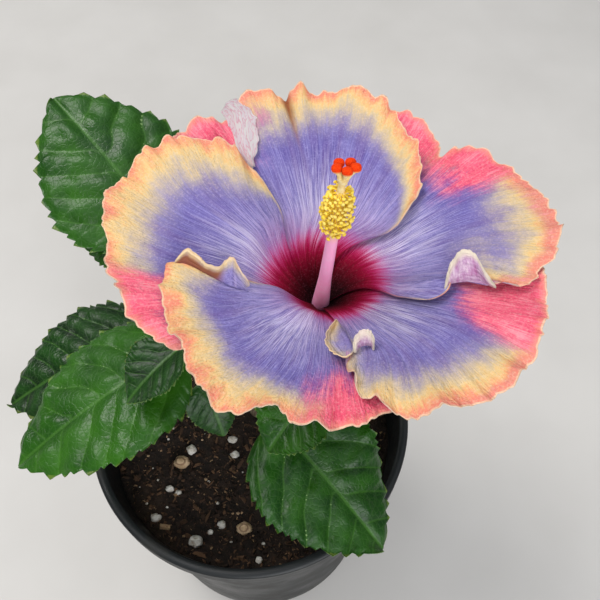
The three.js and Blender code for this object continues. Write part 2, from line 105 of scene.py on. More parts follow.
# Leaves
LEAF_THICKNESS = 0.4
LEAF_TEETH = 15
LEAF_COLUMNS = 41
SMALL_LEAF_COLUMNS = 21
SMALL_LEAF = 30             # a blade up to this width is a small one
MIDDLING_LEAF = 70          # width of the blade that the relief's sizes are given for
PETIOLE_RADIUS = 1.25
VEIN_SPACING = 15.5
GOLDEN_ANGLE = pi * (3 - sqrt(5))

# Light and camera, in metres. The photo is taken as 600 pixels wide.
SKY_LOW, SKY_HIGH = 0.24, 1.1            # strength of the sky at the horizon and overhead
LIGHT_TARGET = (0, 0, 0.3)
LIGHTS = {
    "key": dict(place=(-0.9, 0.5, 1.9), size=1.2, power=24, colour=(1.0, 0.98, 0.95)),
    "fill": dict(place=(0.5, -1.4, 0.95), size=1.4, power=20, colour=(0.97, 0.98, 1.0)),
}
FLOOR_REACH = 4.0
SENSOR_WIDTH = 36
PHOTO_WIDTH = 600
FOCAL_PIXELS = 650          # focal length in pixels of the photo
CAMERA_PLACE = (0.033, -0.180, 0.602)
CAMERA_TILT = 33.8          # degrees from straight down


# Numbers

def vec(x, y, z):
    return np.array([x, y, z], float)


def mix(a, b, t):
    return a + (b - a) * t


def smooth(x):
    """A level start at 0 and a level end at 1, as x goes from 0 to 1."""
    t = np.clip(x, 0, 1)
    return t * t * (3 - 2 * t)


def unit(v):
    return v / np.maximum(np.linalg.norm(v, axis=-1, keepdims=True), 1e-9)


def polar(radius, angle):
    return radius * np.cos(angle), radius * np.sin(angle)


def in_plan(places):
    """x and y of places that are given by an angle in degrees and a radius."""
    angle, radius = np.moveaxis(places, -1, 0)
    return polar(radius, np.radians(angle))


def heading(angle):
    """The level direction at an angle from +X."""
    return vec(cos(angle), sin(angle), 0)


def circle(count):
    """Angles at even steps all round."""
    return np.arange(count) / count * tau


def spun(angle):
    """A turn about the vertical axis, as a 3 by 3 matrix."""
    c, s = cos(angle), sin(angle)
    return np.array([[c, -s, 0], [s, c, 0], [0, 0, 1]])


def seeded(seed):
    """The same draws as the solids' own random rule."""
    full = 0xFFFFFFFF
    state = seed

    def draw():
        nonlocal state
        state = (state + 0x6D2B79F5) & full
        t = ((state ^ (state >> 15)) * (1 | state)) & full
        t = ((t + (((t ^ (t >> 7)) * (61 | t)) & full)) & full) ^ t
        return (t ^ (t >> 14)) / (full + 1)

    return draw


def wobble(x, seed, count=997):
    """Smooth noise from -1 to 1 along a line, with one knot a unit. It repeats after count knots."""
    knots = np.random.default_rng(seed).uniform(-1, 1, count)
    k = np.floor(x).astype(int)
    return mix(knots[k % count], knots[(k + 1) % count], smooth(x - k))


def clouds(x, y, seed, count=97):
    """Smooth noise from -1 to 1 over a plane, with one knot a unit. It repeats after count knots."""
    knots = np.random.default_rng(seed).uniform(-1, 1, (count, count))
    i, j = np.floor(x).astype(int), np.floor(y).astype(int)
    s, t = smooth(x - i), smooth(y - j)
    i, j, i1, j1 = i % count, j % count, (i + 1) % count, (j + 1) % count
    return mix(mix(knots[i, j], knots[i1, j], s), mix(knots[i, j1], knots[i1, j1], s), t)


def cubic(p1, p2, m1, m2, w):
    """From p1 to p2 with the slopes m1 and m2 there, at the share w of the way."""
    a = 2 * p1 - 2 * p2 + m1 + m2
    b = -3 * p1 + 3 * p2 - 2 * m1 - m2
    return ((a * w + b) * w + m1) * w + p1


def spline(points, t):
    """A centripetal curve through the points, at each place t from 0 to 1."""
    points = np.asarray(points, float)
    p = np.vstack([2 * points[0] - points[1], points, 2 * points[-1] - points[-2]])
    count = len(points) - 1
    x = np.clip(np.asarray(t, float), 0, 1) * count
    k = np.minimum(x.astype(int), count - 1)
    p0, p1, p2, p3 = p[k], p[k + 1], p[k + 2], p[k + 3]
    d0, d1, d2 = (np.sqrt(np.linalg.norm(b - a, axis=-1, keepdims=True)) + 1e-9
                  for a, b in ((p0, p1), (p1, p2), (p2, p3)))
    m1 = d1 * ((p1 - p0) / d0 - (p2 - p0) / (d0 + d1) + (p2 - p1) / d1)
    m2 = d1 * ((p2 - p1) / d1 - (p3 - p1) / (d1 + d2) + (p3 - p2) / d2)
    return cubic(p1, p2, m1, m2, (x - k)[..., None])


def outline_at(points, t):
    """A uniform curve through the points of an outline, at each place t from 0 to 1."""
    points = np.asarray(points, float)
    last = len(points) - 1
    x = np.clip(np.asarray(t, float), 0, 1) * last
    k = np.minimum(x.astype(int), last)
    p0, p1 = points[np.maximum(k - 1, 0)], points[k]
    p2, p3 = points[np.minimum(k + 1, last)], points[np.minimum(k + 2, last)]
    return cubic(p1, p2, 0.5 * (p2 - p0), 0.5 * (p3 - p1), (x - k)[..., None])


def margin_at(points, share):
    """Angle, radius and length run along a margin, at each share of its whole length."""
    dense = outline_at(points, np.linspace(0, 1, 1200))
    path = np.stack(in_plan(dense), -1)
    run = np.concatenate([[0], np.cumsum(np.linalg.norm(np.diff(path, axis=0), axis=1))])
    arc = share * run[-1]
    return np.interp(arc, run, dense[:, 0]), np.interp(arc, run, dense[:, 1]), arc


# Meshes

def placed(name, data):
    """A new object in the scene."""
    made = bpy.data.objects.new(name, data)
    bpy.context.scene.collection.objects.link(made)
    return made


class Heap:
    """Points, faces and named values that end up as one mesh."""

    def __init__(self):
        self.points = []
        self.faces = []
        self.values = {}
        self.count = 0

    def add(self, points, faces, **values):
        points = np.asarray(points, float).reshape(-1, 3)
        for name in {**self.values, **values}:
            held = self.values.setdefault(name, [np.zeros(self.count)])
            held.append(np.broadcast_to(values.get(name, 0.0), len(points)).astype(float))
        self.points.append(points)
        self.faces.extend([int(k) + self.count for k in face] for face in faces)
        self.count += len(points)

    def make(self, name, material, slot, nodes=(), even=False):
        """The mesh as a piece that stands for the nodes, with flat faces where even is true."""
        mesh = bpy.data.meshes.new(name)
        mesh.from_pydata((np.vstack(self.points) * MM).tolist(), [], self.faces)
        for key, held in self.values.items():
            layer = mesh.attributes.new(key, "FLOAT", "POINT")
            layer.data.foreach_set("value", np.concatenate(held).astype(np.float32))
        mesh.polygons.foreach_set("use_smooth", [not even] * len(mesh.polygons))
        mesh.materials.append(material)
        mesh.update()
        piece = placed(name, mesh)
        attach(piece, "root")
        if nodes:
            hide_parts(*nodes)
        return piece


def grid_faces(rows, columns, closed=False):
    i, j = np.meshgrid(np.arange(rows - 1), np.arange(columns if closed else columns - 1), indexing="ij")
    a = i * columns + j
    b = i * columns + (j + 1) % columns
    return np.stack([a, b, b + columns, a + columns], -1).reshape(-1, 4)


def add_sheet(heap, grid, thickness, **values):
    """A thin closed sheet about a grid of points. Unless given, under is 1 on its lower side."""
    rows, columns = grid.shape[:2]
    normal = unit(np.cross(np.gradient(grid, axis=0), np.gradient(grid, axis=1)))
    half = np.broadcast_to(thickness, (rows, columns))[..., None] / 2
    upper, lower = grid + normal * half, grid - normal * half
    quads = grid_faces(rows, columns)
    count = rows * columns
    index = np.arange(count).reshape(rows, columns)
    rim = np.concatenate([index[0, ::-1], index[1:, 0], index[-1, 1:], index[-2:0:-1, -1]])
    after = np.roll(rim, -1)
    sides = np.stack([rim, after, after + count, rim + count], -1)
    both = {"under": np.repeat([0.0, 1.0], count)}
    for name, value in values.items():
        both[name] = np.tile(np.broadcast_to(value, (rows, columns)).ravel(), 2)
    points = np.concatenate([upper.reshape(-1, 3), lower.reshape(-1, 3)])
    heap.add(points, np.concatenate([quads[:, ::-1], quads + count, sides]), **both)


def add_rings(heap, rings, first, last, **values):
    """A closed body through rings of points, with one point at each end."""
    rows, sides = rings.shape[:2]
    faces = grid_faces(rows, sides, closed=True).tolist()
    foot = rows * sides
    for j in range(sides):
        after = (j + 1) % sides
        faces += [[foot, after, j], [foot + 1, foot - sides + j, foot - sides + after]]
    whole = {}
    for name, value in values.items():
        grid = np.broadcast_to(value, (rows, sides))
        whole[name] = np.concatenate([grid.ravel(), [grid[0, 0], grid[-1, 0]]])
    heap.add(np.concatenate([rings.reshape(-1, 3), [first, last]]), faces, **whole)


def add_ball(heap, rings, **values):
    """A closed body through rings of points, with its ends in the middle of the outer rings."""
    add_rings(heap, rings, rings[0].mean(0), rings[-1].mean(0), **values)


def turned_rings(profile, sides):
    """Rings of points from a profile of radii and heights about the vertical axis."""
    r, z = np.array(profile, float).T
    x, y = polar(r[:, None], circle(sides))
    return np.stack([x, y, np.broadcast_to(z[:, None], x.shape)], -1)


def add_limb(heap, path, radii, sides=12, steps=16, level=False, relief=None):
    """A round limb along a path. Its first ring lies level where level is true."""
    t = np.linspace(0, 1, steps + 1)
    centres = spline(path, t)
    along = unit(np.gradient(centres, axis=0))
    if level:
        along[0] = UP
    side = unit(np.cross(along, vec(0.31, 0.94, 0.13)))   # a direction that no limb runs in
    other = np.cross(along, side)
    angle = circle(sides)
    out = side[:, None] * np.cos(angle)[:, None] + other[:, None] * np.sin(angle)[:, None]
    radius = np.interp(t, np.linspace(0, 1, len(radii)), radii)
    swell = 1.0 if relief is None else 1 + relief(t[:, None], angle[None])
    rings = centres[:, None] + out * (radius[:, None] * swell)[..., None]
    add_rings(heap, rings, centres[0], centres[-1], run=t[:, None])


def ball_rings(rows, columns):
    """Rings of points of a unit ball."""
    angle = np.linspace(pi, 0, rows + 1)[1:-1]
    return turned_rings(np.stack([np.sin(angle), np.cos(angle)], -1), columns)


def random_turns(rng, count):
    """Random rotations, as matrices to multiply rows of points by."""
    w, axis = np.split(unit(rng.normal(size=(count, 4))), [1], axis=1)
    skew = np.cross(axis[:, None], np.eye(3))
    return np.eye(3) + 2 * w[..., None] * skew + 2 * skew @ skew


def make_limbs(name, material, slot, nodes, *limbs):
    """A piece made of limbs alone, each given as add_limb takes it."""
    heap = Heap()
    for limb in limbs:
        add_limb(heap, *limb)
    return heap.make(name, material, slot, nodes)


# Materials

class Field:
    """A value or colour that varies over a surface. Its sums and products are math nodes."""

    def __init__(self, look, socket):
        self.look = look
        self.socket = socket

    def math(self, operation, *others):
        return self.look.field("Math", self, *others, operation=operation)

    def __add__(self, other):
        return self.math("ADD", other)

    def __sub__(self, other):
        return self.math("SUBTRACT", other)

    def __mul__(self, other):
        return self.math("MULTIPLY", other)

    def __truediv__(self, other):
        return self.math("DIVIDE", other)

    def __abs__(self):
        return self.math("ABSOLUTE")

    def step(self, low, high, to_low=0.0, to_high=1.0):
        """A smooth change from to_low to to_high, as the value goes from low to high."""
        ends = (low, high, to_low, to_high)
        return self.look.field("MapRange", self, *ends, interpolation_type="SMOOTHSTEP")

    def ramp(self, *stops):
        """Colours by the value, where each stop is a place on the ramp and the colour there."""
        made = self.look.node("ValToRGB", self)
        elements = made.color_ramp.elements
        while len(elements) < len(stops):
            elements.new(0.5)
        for element, (position, *colour) in zip(elements, stops):
            element.position = position
            element.color = (*colour, 1)
        return Field(self.look, made.outputs[0])


def blend(a, b, share):
    """The colour a where share is 0, and b where it is 1."""
    unused = [None] * 5      # the node's sockets for mixing numbers and vectors
    return share.look.field("Mix", share, *unused, a, b, output=2, data_type="RGBA")


class Look:
    """A node material, or the sky, with short ways to make its nodes."""

    def __init__(self, name, blocks="materials", place="Object"):
        self.block = getattr(bpy.data, blocks).new(name)
        self.block.use_nodes = True
        self.tree = self.block.node_tree
        self.place = self.field("TexCoord", output=place)

    def node(self, kind, *inputs, **settings):
        made = self.tree.nodes.new("ShaderNode" + kind)
        for key, value in settings.items():
            setattr(made, key, value)
        for socket, value in zip(made.inputs, inputs):
            self.feed(socket, value)
        return made

    def field(self, kind, *inputs, output=0, **settings):
        return Field(self, self.node(kind, *inputs, **settings).outputs[output])

    def feed(self, socket, value):
        if isinstance(value, Field):
            self.tree.links.new(value.socket, socket)
        elif value is not None:
            socket.default_value = (*value, 1) if socket.type == "RGBA" else value

    def value(self, name):
        return self.field("Attribute", output="Fac", attribute_name=name)

    def noise(self, scale, detail, rough=0.5, at=None):
        return self.field("TexNoise", at or self.place, None, scale, detail, rough, output="Fac")

    def cells(self, scale, feature="F1"):
        return self.field("TexVoronoi", self.place, None, scale, output="Distance", feature=feature)

    def done(self, colour, height=None, strength=1.0, distance=0.001, **sockets):
        """The material, with its colour, its bumps and values for more of its shader's sockets."""
        if height:
            sockets["Normal"] = self.field("Bump", strength, distance, None, height)
        for key, value in dict(Base_Color=colour, **sockets).items():
            self.feed(self.tree.nodes["Principled BSDF"].inputs[key.replace("_", " ")], value)
        return self.block


def petal_look():
    """Lavender with light veins, gold and coral towards the margins, a crimson eye, and painted shade in
    a crease and on a turned margin.
    """
    look = Look("petal_skin")
    span, reach, radius, rim = map(look.value, ("span", "reach", "radius", "rim"))
    gold, coral, petal = map(look.value, ("gold", "coral", "petal"))

    def veins(across, along, detail, rough=0.5):
        place = look.field("CombineXYZ", span * across, reach * along, petal)
        return look.noise(1.0, detail, rough, place)

    fine, broad, branch = veins(170, 7, 4, 0.65), veins(17, 2, 2), veins(26, 1.5, 2, 0.4)
    speck, tint = look.noise(1100, 4, 0.7), look.noise(62, 5, 0.7)
    streak, patch, mottle = fine - 0.5, broad - 0.5, tint - 0.5

    skin = fine.ramp((0.32, 0.1, 0.074, 0.29), (0.5, 0.17, 0.142, 0.43), (0.68, 0.27, 0.24, 0.56))
    skin = blend(skin, (0.15, 0.085, 0.31), broad.step(0.42, 0.72, 0, 0.6))
    skin = blend(skin, (0.36, 0.34, 0.64), tint.step(0.5, 0.72, 0, 0.35))
    near = (radius + (patch * 44 + streak * 26)).step(24, 64, 1, 0)
    vein = (fine + patch * 0.5).step(0.42, 0.6)
    blush = blend((0.66, 0.3, 0.56), (0.6, 0.53, 0.84), radius.step(24, 40))
    skin = blend(skin, blush, near * (vein * 0.66 + 0.16))
    ray = abs(branch - 0.5).step(0.0, 0.03, 0.6, 0)
    skin = blend(skin, (0.7, 0.58, 0.86), ray * radius.step(26, 62, 1, 0))
    middle = abs(span + patch * 0.3).step(0.04, 0.5, 1, 0)
    star = (fine + patch * 0.4).step(0.46, 0.6) * radius.step(30, 70, 1, 0)
    skin = blend(skin, (0.82, 0.76, 0.92), star * middle * 0.72)
    skin = blend(skin, (0.48, 0.42, 0.76), speck.step(0.48, 0.7, 0, 0.36))

    edge = gold + (streak * 0.5 + patch * 0.42) + mottle * 1.05
    warm = edge.ramp(
        (0.0, 0.88, 0.27, 0.18), (0.12, 0.88, 0.4, 0.19), (0.28, 0.85, 0.57, 0.24),
        (0.42, 0.76, 0.57, 0.3), (0.68, 0.6, 0.5, 0.38), (1.0, 0.4, 0.34, 0.46),
    )
    warm = blend(warm, (0.9, 0.7, 0.46), speck.step(0.45, 0.7, 0, 0.5))
    outside = radius.step(28, 46)
    skin = blend(skin, warm, edge.step(0.22, 1.5, 1, 0) * outside)

    redness = coral + (streak * 0.75 + (patch * 0.5 + mottle * 0.9))
    red = (fine * 0.5 + tint * 0.5).ramp(
        (0.36, 0.68, 0.04, 0.1), (0.5, 0.92, 0.125, 0.215), (0.62, 0.97, 0.32, 0.38),
    )
    red = blend(red, (0.5, 0.06, 0.22), redness.step(0.3, 0.85, 1, 0))
    red = blend(red, (0.95, 0.42, 0.42), speck.step(0.45, 0.7, 0, 0.5))
    red = blend(red, (0.92, 0.38, 0.24), (rim + streak * 6).step(0, 4, 0.6, 0))
    skin = blend(skin, red, redness.step(0.2, 0.9))
    border = (rim + mottle * 1.5).step(0.3, 0.9, 0.7, 0)
    skin = blend(skin, (0.94, 0.72, 0.48), border * outside)

    eye = radius + (streak * 17 + patch * 9)
    crimson = (eye / 30.0).ramp(
        (0.22, 0.014, 0.0002, 0.001), (0.42, 0.12, 0.0008, 0.009), (0.6, 0.34, 0.003, 0.033),
        (0.76, 0.66, 0.01, 0.14), (0.9, 0.86, 0.06, 0.38),
    )
    crimson = blend(crimson, (0.42, 0.1, 0.15), speck.step(0.5, 0.72, 0, 0.3))
    skin = blend(skin, crimson, eye.step(20.0, 28.5, 1, 0))
    # Painted shade: darkening in the back petal's crease and on the shaded inner face of the front-left
    # petal's turned-up margin.
    skin = blend(skin, (0.27, 0.075, 0.025), look.value("brown") * 0.92)

    pale = fine.ramp((0.3, 0.42, 0.15, 0.33), (0.48, 0.54, 0.32, 0.5), (0.66, 0.72, 0.56, 0.66))
    pale = blend(pale, (0.8, 0.7, 0.55), rim.step(0.8, 3.6, 0.95, 0) * outside)
    pale = blend(pale, (0.3, 0.01, 0.06), radius.step(18, 34, 1, 0))
    white = branch.ramp((0.44, 0.92, 0.84, 0.84), (0.5, 0.84, 0.46, 0.56), (0.56, 0.9, 0.78, 0.82))
    pale = blend(pale, white, radius.step(108, 114))
    crinkle = veins(45, 26, 3, 0.6) * rim.step(4, 34, 1, 0.2)
    relief = fine + speck * 0.5 + crinkle * 2.6
    return look.done(blend(skin, pale, look.value("under")), relief, 0.8, 0.0009,
                     Roughness=0.65, Specular_IOR_Level=0.1)


def leaf_look():
    """Glossy dark green, with veins, a yellowish edge and a pale underside."""
    look = Look("leaf_skin")
    rib, side, shade, margin, under = map(look.value, ("rib", "side", "shade", "margin", "under"))
    to_rib = rib.math("PINGPONG", 0.5)
    net = look.cells(330, "DISTANCE_TO_EDGE")
    lateral, midrib = to_rib.step(0.0, 0.075, 1, 0) * 0.75, side.step(0.5, 1.5, 1, 0)
    vein = lateral.math("MAXIMUM", midrib).math("MAXIMUM", net.step(0.0, 0.1, 0.3, 0))
    green = (look.noise(60, 3) * 0.6 + shade * 0.4).ramp(
        (0.25, 0.001, 0.012, 0.0004), (0.5, 0.004, 0.04, 0.001), (0.78, 0.026, 0.116, 0.004),
    )
    green = blend(green, (0.018, 0.095, 0.006), to_rib.step(0.1, 0.5, 0, 0.3))
    green = blend(green, (0.08, 0.22, 0.03), vein * 0.36)
    green = blend(green, (0.26, 0.32, 0.06), margin.step(0.0, 0.5, 0.35, 0))
    below = blend((0.09, 0.2, 0.06), (0.25, 0.36, 0.14), vein * 0.8)
    gloss = look.noise(900, 2).step(0.3, 0.8, 0.0, 0.14) + look.noise(38, 2).step(0.35, 0.65, 0.24, 0.38)
    quilted = net.math("MINIMUM", 0.3).math("POWER", 0.6) + look.noise(300, 3, 0.6) * 1.1
    return look.done(blend(green, below, under), quilted - vein * 0.7, 0.34, 0.0006,
                     Roughness=gloss + under * 0.3, Coat_Weight=0.1, Coat_Roughness=0.16,
                     Specular_IOR_Level=0.26)


def green_look():
    look = Look("green_stem")
    cloud = look.noise(150, 3)
    green = cloud.ramp((0.3, 0.06, 0.15, 0.025), (0.6, 0.14, 0.26, 0.05), (0.8, 0.24, 0.3, 0.09))
    return look.done(green, look.noise(1500, 2), 0.5, 0.0003)


def bark_look():
    """Grey-brown, furrowed along the stem, with greenish patches."""
    look = Look("bark")
    furrow = look.noise(520, 4, 0.65, look.field("Mapping", look.place, None, None, (1, 1, 0.25)))
    wood = furrow.ramp((0.3, 0.045, 0.03, 0.018), (0.5, 0.17, 0.12, 0.075), (0.75, 0.36, 0.29, 0.2))
    wood = blend(wood, (0.16, 0.19, 0.08), look.noise(90, 3).step(0.5, 0.75, 0, 0.6))
    return look.done(wood, furrow, 0.8, 0.0009, Roughness=0.85)


def pot_look():
    """Black plastic with dust in clouds, and more of it low down."""
    look = Look("pot_plastic")
    dust = look.noise(26, 4, 0.6)
    low = look.field("SeparateXYZ", look.place, output="Z").step(0.0, 0.05, 0.35, 0) * dust
    grime = dust.step(0.5, 0.75, 0, 0.35).math("MAXIMUM", low)
    black = blend((0.01, 0.012, 0.013), (0.066, 0.059, 0.044), grime)
    return look.done(black, look.noise(1300, 2), 0.25, 0.0003,
                     Roughness=dust.step(0.3, 0.75, 0.36, 0.62), Specular_IOR_Level=0.34)


def soil_look():
    look = Look("bark_mix")
    crumb = look.noise(300, 4, 0.7)
    dark = crumb.ramp((0.3, 0.004, 0.0025, 0.0015), (0.55, 0.018, 0.01, 0.006), (0.8, 0.07, 0.04, 0.024))
    dark = blend(dark, (0.07, 0.042, 0.025), look.noise(45, 2).step(0.5, 0.7, 0, 0.35))
    return look.done(dark, crumb, 1.0, 0.002, Roughness=0.95)


def chip_look():
    look = Look("bark_chip")
    fibre = look.noise(700, 3, 0.65)
    wood = (look.value("tone") * 0.8 + fibre * 0.25).ramp(
        (0.1, 0.008, 0.004, 0.002), (0.45, 0.05, 0.024, 0.011), (0.75, 0.17, 0.09, 0.045),
        (1.0, 0.5, 0.33, 0.18),
    )
    return look.done(wood, fibre, 0.7, 0.0006, Roughness=0.9)


def perlite_look():
    """White with stains, and on the tan grains wood with a darker ring."""
    look = Look("perlite")
    core, stain = look.value("core"), look.noise(240, 3)
    white = stain.ramp((0.3, 0.4, 0.33, 0.25), (0.48, 0.72, 0.68, 0.6), (0.7, 0.86, 0.84, 0.78))
    wood = stain.ramp((0.3, 0.42, 0.27, 0.14), (0.7, 0.72, 0.53, 0.33))
    ring = core.step(0.3, 0.42) * core.step(0.5, 0.62, 1, 0)
    wood = blend(wood, (0.2, 0.1, 0.05), ring * 0.75)
    return look.done(blend(white, wood, look.value("tan")), look.cells(900), 0.8, 0.0006, Roughness=0.8)


def column_look():
    """Pink, dark at the foot and golden among the anthers."""
    look = Look("column_skin")
    streak = look.noise(500, 2)
    pink = look.value("run").ramp(
        (0.0, 0.5, 0.1, 0.28), (0.12, 0.94, 0.35, 0.59), (0.68, 0.97, 0.43, 0.63),
        (0.78, 0.92, 0.64, 0.16),
    )
    pink = blend(pink, (0.9, 0.56, 0.7), streak.step(0.4, 0.7, 0, 0.3))
    return look.done(pink, streak, 0.3, 0.0004, Roughness=0.45, Specular_IOR_Level=0.2)


def pollen_look():
    look = Look("anther_skin")
    dust = look.noise(1800, 2)
    gold = dust.ramp((0.35, 1.0, 0.64, 0.02), (0.65, 1.0, 0.8, 0.1))
    gold = blend(gold, (1.0, 0.8, 0.2), look.value("tone"))
    return look.done(gold, dust, 0.9, 0.0005, Roughness=0.75, Specular_IOR_Level=0.2)


def style_look():
    look = Look("style_skin")
    rise = look.noise(600, 2)
    yellow = rise.ramp((0.35, 0.82, 0.6, 0.24), (0.7, 0.88, 0.76, 0.42))
    return look.done(yellow, rise, 0.3, 0.0003, Specular_IOR_Level=0.2)


def stigma_look():
    look = Look("stigma_pad")
    velvet = look.noise(2600, 2)
    red = velvet.ramp((0.35, 0.75, 0.03, 0.001), (0.7, 0.95, 0.08, 0.004))
    red = blend(red, (0.92, 0.42, 0.16), look.value("rim").step(0.35, 0.75, 0, 0.9))
    return look.done(red, velvet, 1.0, 0.0004, Roughness=0.7, Specular_IOR_Level=0.1)


def floor_look():
    look = Look("plain_floor")
    grey = look.noise(9, 3).ramp((0.3, 0.56, 0.54, 0.51), (0.7, 0.6, 0.58, 0.55))
    return look.done(grey, Roughness=0.8)


PETAL_SKIN = petal_look()
LEAF_SKIN = leaf_look()
GREEN_STEM = green_look()
BARK = bark_look()


# Pot

def rounding(centre, across, rise, start, stop, steps):
    """Places of a profile on an arc, from one angle to another in degrees."""
    turns = [radians(mix(start, stop, k / steps)) for k in range(steps + 1)]
    return [(centre[0] + across * cos(turn), centre[1] + rise * sin(turn)) for turn in turns]


def pot_profile():
    """Radii and heights, from the raised middle of the underside out, up, over the lip and inside."""
    skirt = POT_HEIGHT - RIM_DEPTH
    round_middle = (POT_FOOT_RADIUS - FOOT_ROUND, FOOT_ROUND)
    profile = [(4, FOOT_RECESS), (POT_FOOT_RADIUS - 16, FOOT_RECESS), (POT_FOOT_RADIUS - 14, 0)]
    profile += rounding(round_middle, FOOT_ROUND, FOOT_ROUND, -90, 0, 4)
    profile += [(mix(POT_FOOT_RADIUS, POT_TOP_RADIUS, k / 12), mix(FOOT_ROUND, skirt - 1, k / 12))
                for k in range(1, 13)]
    profile += [(POT_TOP_RADIUS + 1, skirt), (RIM_RADIUS - 1.4, skirt), (RIM_RADIUS - 0.5, skirt + 0.4),
                (RIM_RADIUS - 0.1, skirt + 1.4), (RIM_RADIUS - 0.4, skirt + 5),
                (RIM_RADIUS - 0.3, POT_HEIGHT - 4)]
    lip_middle = (RIM_RADIUS - LIP_WIDTH / 2, POT_HEIGHT - LIP_ROUND)
    profile += rounding(lip_middle, LIP_WIDTH / 2, LIP_ROUND, 0, 180, 8)
    foot = POT_FOOT_RADIUS - POT_WALL
    profile += [(RIM_RADIUS - LIP_WIDTH - 0.6, POT_HEIGHT - 5), (POT_TOP_RADIUS - POT_WALL, skirt - 4),
                (foot, POT_FLOOR + 3), (foot - 3, POT_FLOOR), (4, POT_FLOOR)]
    return profile


def bake_modifiers(piece):
    """The piece's modifiers are applied to its mesh."""
    graph = bpy.context.evaluated_depsgraph_get()
    mesh = bpy.data.meshes.new_from_object(piece.evaluated_get(graph), depsgraph=graph)
    piece.modifiers.clear()
    piece.data = mesh


def make_pot():
    heap = Heap()
    add_rings(heap, turned_rings(pot_profile(), 144), FOOT_RECESS * UP, POT_FLOOR * UP)
    pot = heap.make("pot_shell", pot_look(), "pot", ["pot"])
    middles = [DRAIN_CIRCLE * heading((k + 0.5) * tau / DRAIN_COUNT) for k in range(DRAIN_COUNT)]
    drains = [([middle + z * UP for z in (-10, 2, 12)], [DRAIN_RADIUS] * 3, 24, 2) for middle in middles]
    cutter = make_limbs("drain_cutter", BARK, "bark", [], *drains)
    cut = pot.modifiers.new("drain holes", "BOOLEAN")
    cut.object = cutter
    cut.operation = "DIFFERENCE"
    cut.solver = "MANIFOLD"
    bake_modifiers(pot)
    bpy.data.objects.remove(cutter)


# Soil

CHIP_CORNERS = np.array([[-1, -1, -1], [1, -0.7, -1], [1.1, 0.8, -0.9], [-0.8, 1, -1],
                         [-0.7, -0.9, 1], [0.8, -0.8, 0.9], [0.9, 0.6, 1], [-0.9, 0.7, 0.8]])
CHIP_FACES = [[0, 3, 2, 1], [4, 5, 6, 7], [0, 1, 5, 4], [1, 2, 6, 5], [2, 3, 7, 6], [3, 0, 4, 7]]

# Place and radius of the largest grains, and whether they are tan
LARGE_GRAINS = [
    (-48, -25, 5.4, True), (-3, -69, 5.0, True), (-34, -77, 4.6, False), (-42, -16, 3.5, False),
    (-54, -43, 3.0, False), (-48, -46, 2.3, False), (-12, -19, 3.1, False), (-61, -62, 3.7, False),
    (-18, -66, 2.9, False), (7, -88, 2.2, False), (34, -75, 2.6, True), (-25, -71, 1.9, False),
]


def soil_height(x, y):
    """The surface of the mix, which sinks towards the wall."""
    return (SOIL_LEVEL - 2.6 - 2.5 * smooth((np.hypot(x, y) - 60) / 36)
            + 1.3 * clouds(x / 17 + 9, y / 17 + 4, 3) + 0.9 * clouds(x / 6 + 30, y / 6 + 8, 4)
            + 0.6 * clouds(x / 2.6 + 50, y / 2.6 + 60, 5))


def make_soil():
    x, y = polar(np.linspace(1.5, SOIL_RADIUS, 70)[:, None], circle(220)[None])
    top = np.stack([x, y, soil_height(x, y)], -1)
    wall = top[-1:] * vec(0.9, 0.9, 0) + SOIL_FOOT * UP
    heap = Heap()
    add_rings(heap, np.concatenate([wall, top[::-1]]), SOIL_FOOT * UP, top[0].mean(0))
    heap.make("soil_bed", soil_look(), "soil", ["soil"])


def scatter(rng, count, reach):
    """Places on the soil, clear of the stem."""
    x, y = polar(reach * np.sqrt(rng.uniform(0, 1, 2 * count)), rng.uniform(0, tau, 2 * count))
    stem = TRUNK_PATH[0]
    keep = np.hypot(x - stem[0], y - stem[1]) > STEM_CLEAR
    return x[keep][:count], y[keep][:count]


def make_chips():
    rng = np.random.default_rng(7)
    x, y = scatter(rng, CHIP_COUNT, CHIP_REACH)
    ground = soil_height(x, y)
    length = rng.gamma(2.5, 1.05, CHIP_COUNT).clip(0.9, 12)
    width = length * rng.uniform(0.35, 0.85, CHIP_COUNT)
    height = length * rng.uniform(0.25, 0.6, CHIP_COUNT)
    size = np.stack([length, width, height], -1)
    tilt = random_turns(rng, CHIP_COUNT)
    heap = Heap()
    for k in range(CHIP_COUNT):
        shape = CHIP_CORNERS * rng.uniform(0.5, 1.15, (8, 3)) * size[k] / 2
        shape = shape @ mix(np.eye(3), tilt[k], 0.6) @ spun(rng.uniform(0, tau)).T
        z = ground[k] + 0.2 * height[k] + rng.uniform(-0.8, 1.4)
        pale = rng.uniform() < (0.16 if length[k] < 3 else 0.03)
        tone = rng.uniform(0.8, 1) if pale else 0.75 * rng.uniform() ** 1.2
        heap.add(shape + vec(x[k], y[k], z), CHIP_FACES, tone=tone)
    heap.make("bark_chips", chip_look(), "soil", even=True)


def add_grain(heap, rng, x, y, size, tan):
    squash = vec(1, rng.uniform(0.75, 1), rng.uniform(0.6, 0.85))
    ball = ball_rings(13, 20) if size > 1.5 else ball_rings(7, 10)
    bx, by, bz = np.moveaxis(ball, -1, 0)
    rough = 1 + 0.17 * clouds(bx * 2.3 + 20, by * 2.3 + bz * 2 + 30, int(rng.integers(1000)))
    middle = vec(x, y, soil_height(x, y) + 0.4 * size)
    core = np.clip(1 - np.hypot(bx, by + 0.15), 0, 1) * (bz > 0)
    add_ball(heap, middle + ball * rough[..., None] * squash * size, tan=float(tan), core=core)


def make_perlite():
    rng = np.random.default_rng(12)
    heap = Heap()
    for grain in LARGE_GRAINS:
        add_grain(heap, rng, *grain)
    for x, y in zip(*scatter(rng, GRAIN_COUNT, GRAIN_REACH)):
        if min(hypot(x - grain[0], y - grain[1]) for grain in LARGE_GRAINS) > 9:
            large = y > -30 and rng.uniform() < 0.3
            size = rng.uniform(2, 3.6) if large else rng.uniform(0.5, 1.2)
            add_grain(heap, rng, x, y, size, rng.uniform() < 0.3)
    heap.make("perlite", perlite_look(), "soil")


# Trunk and boughs

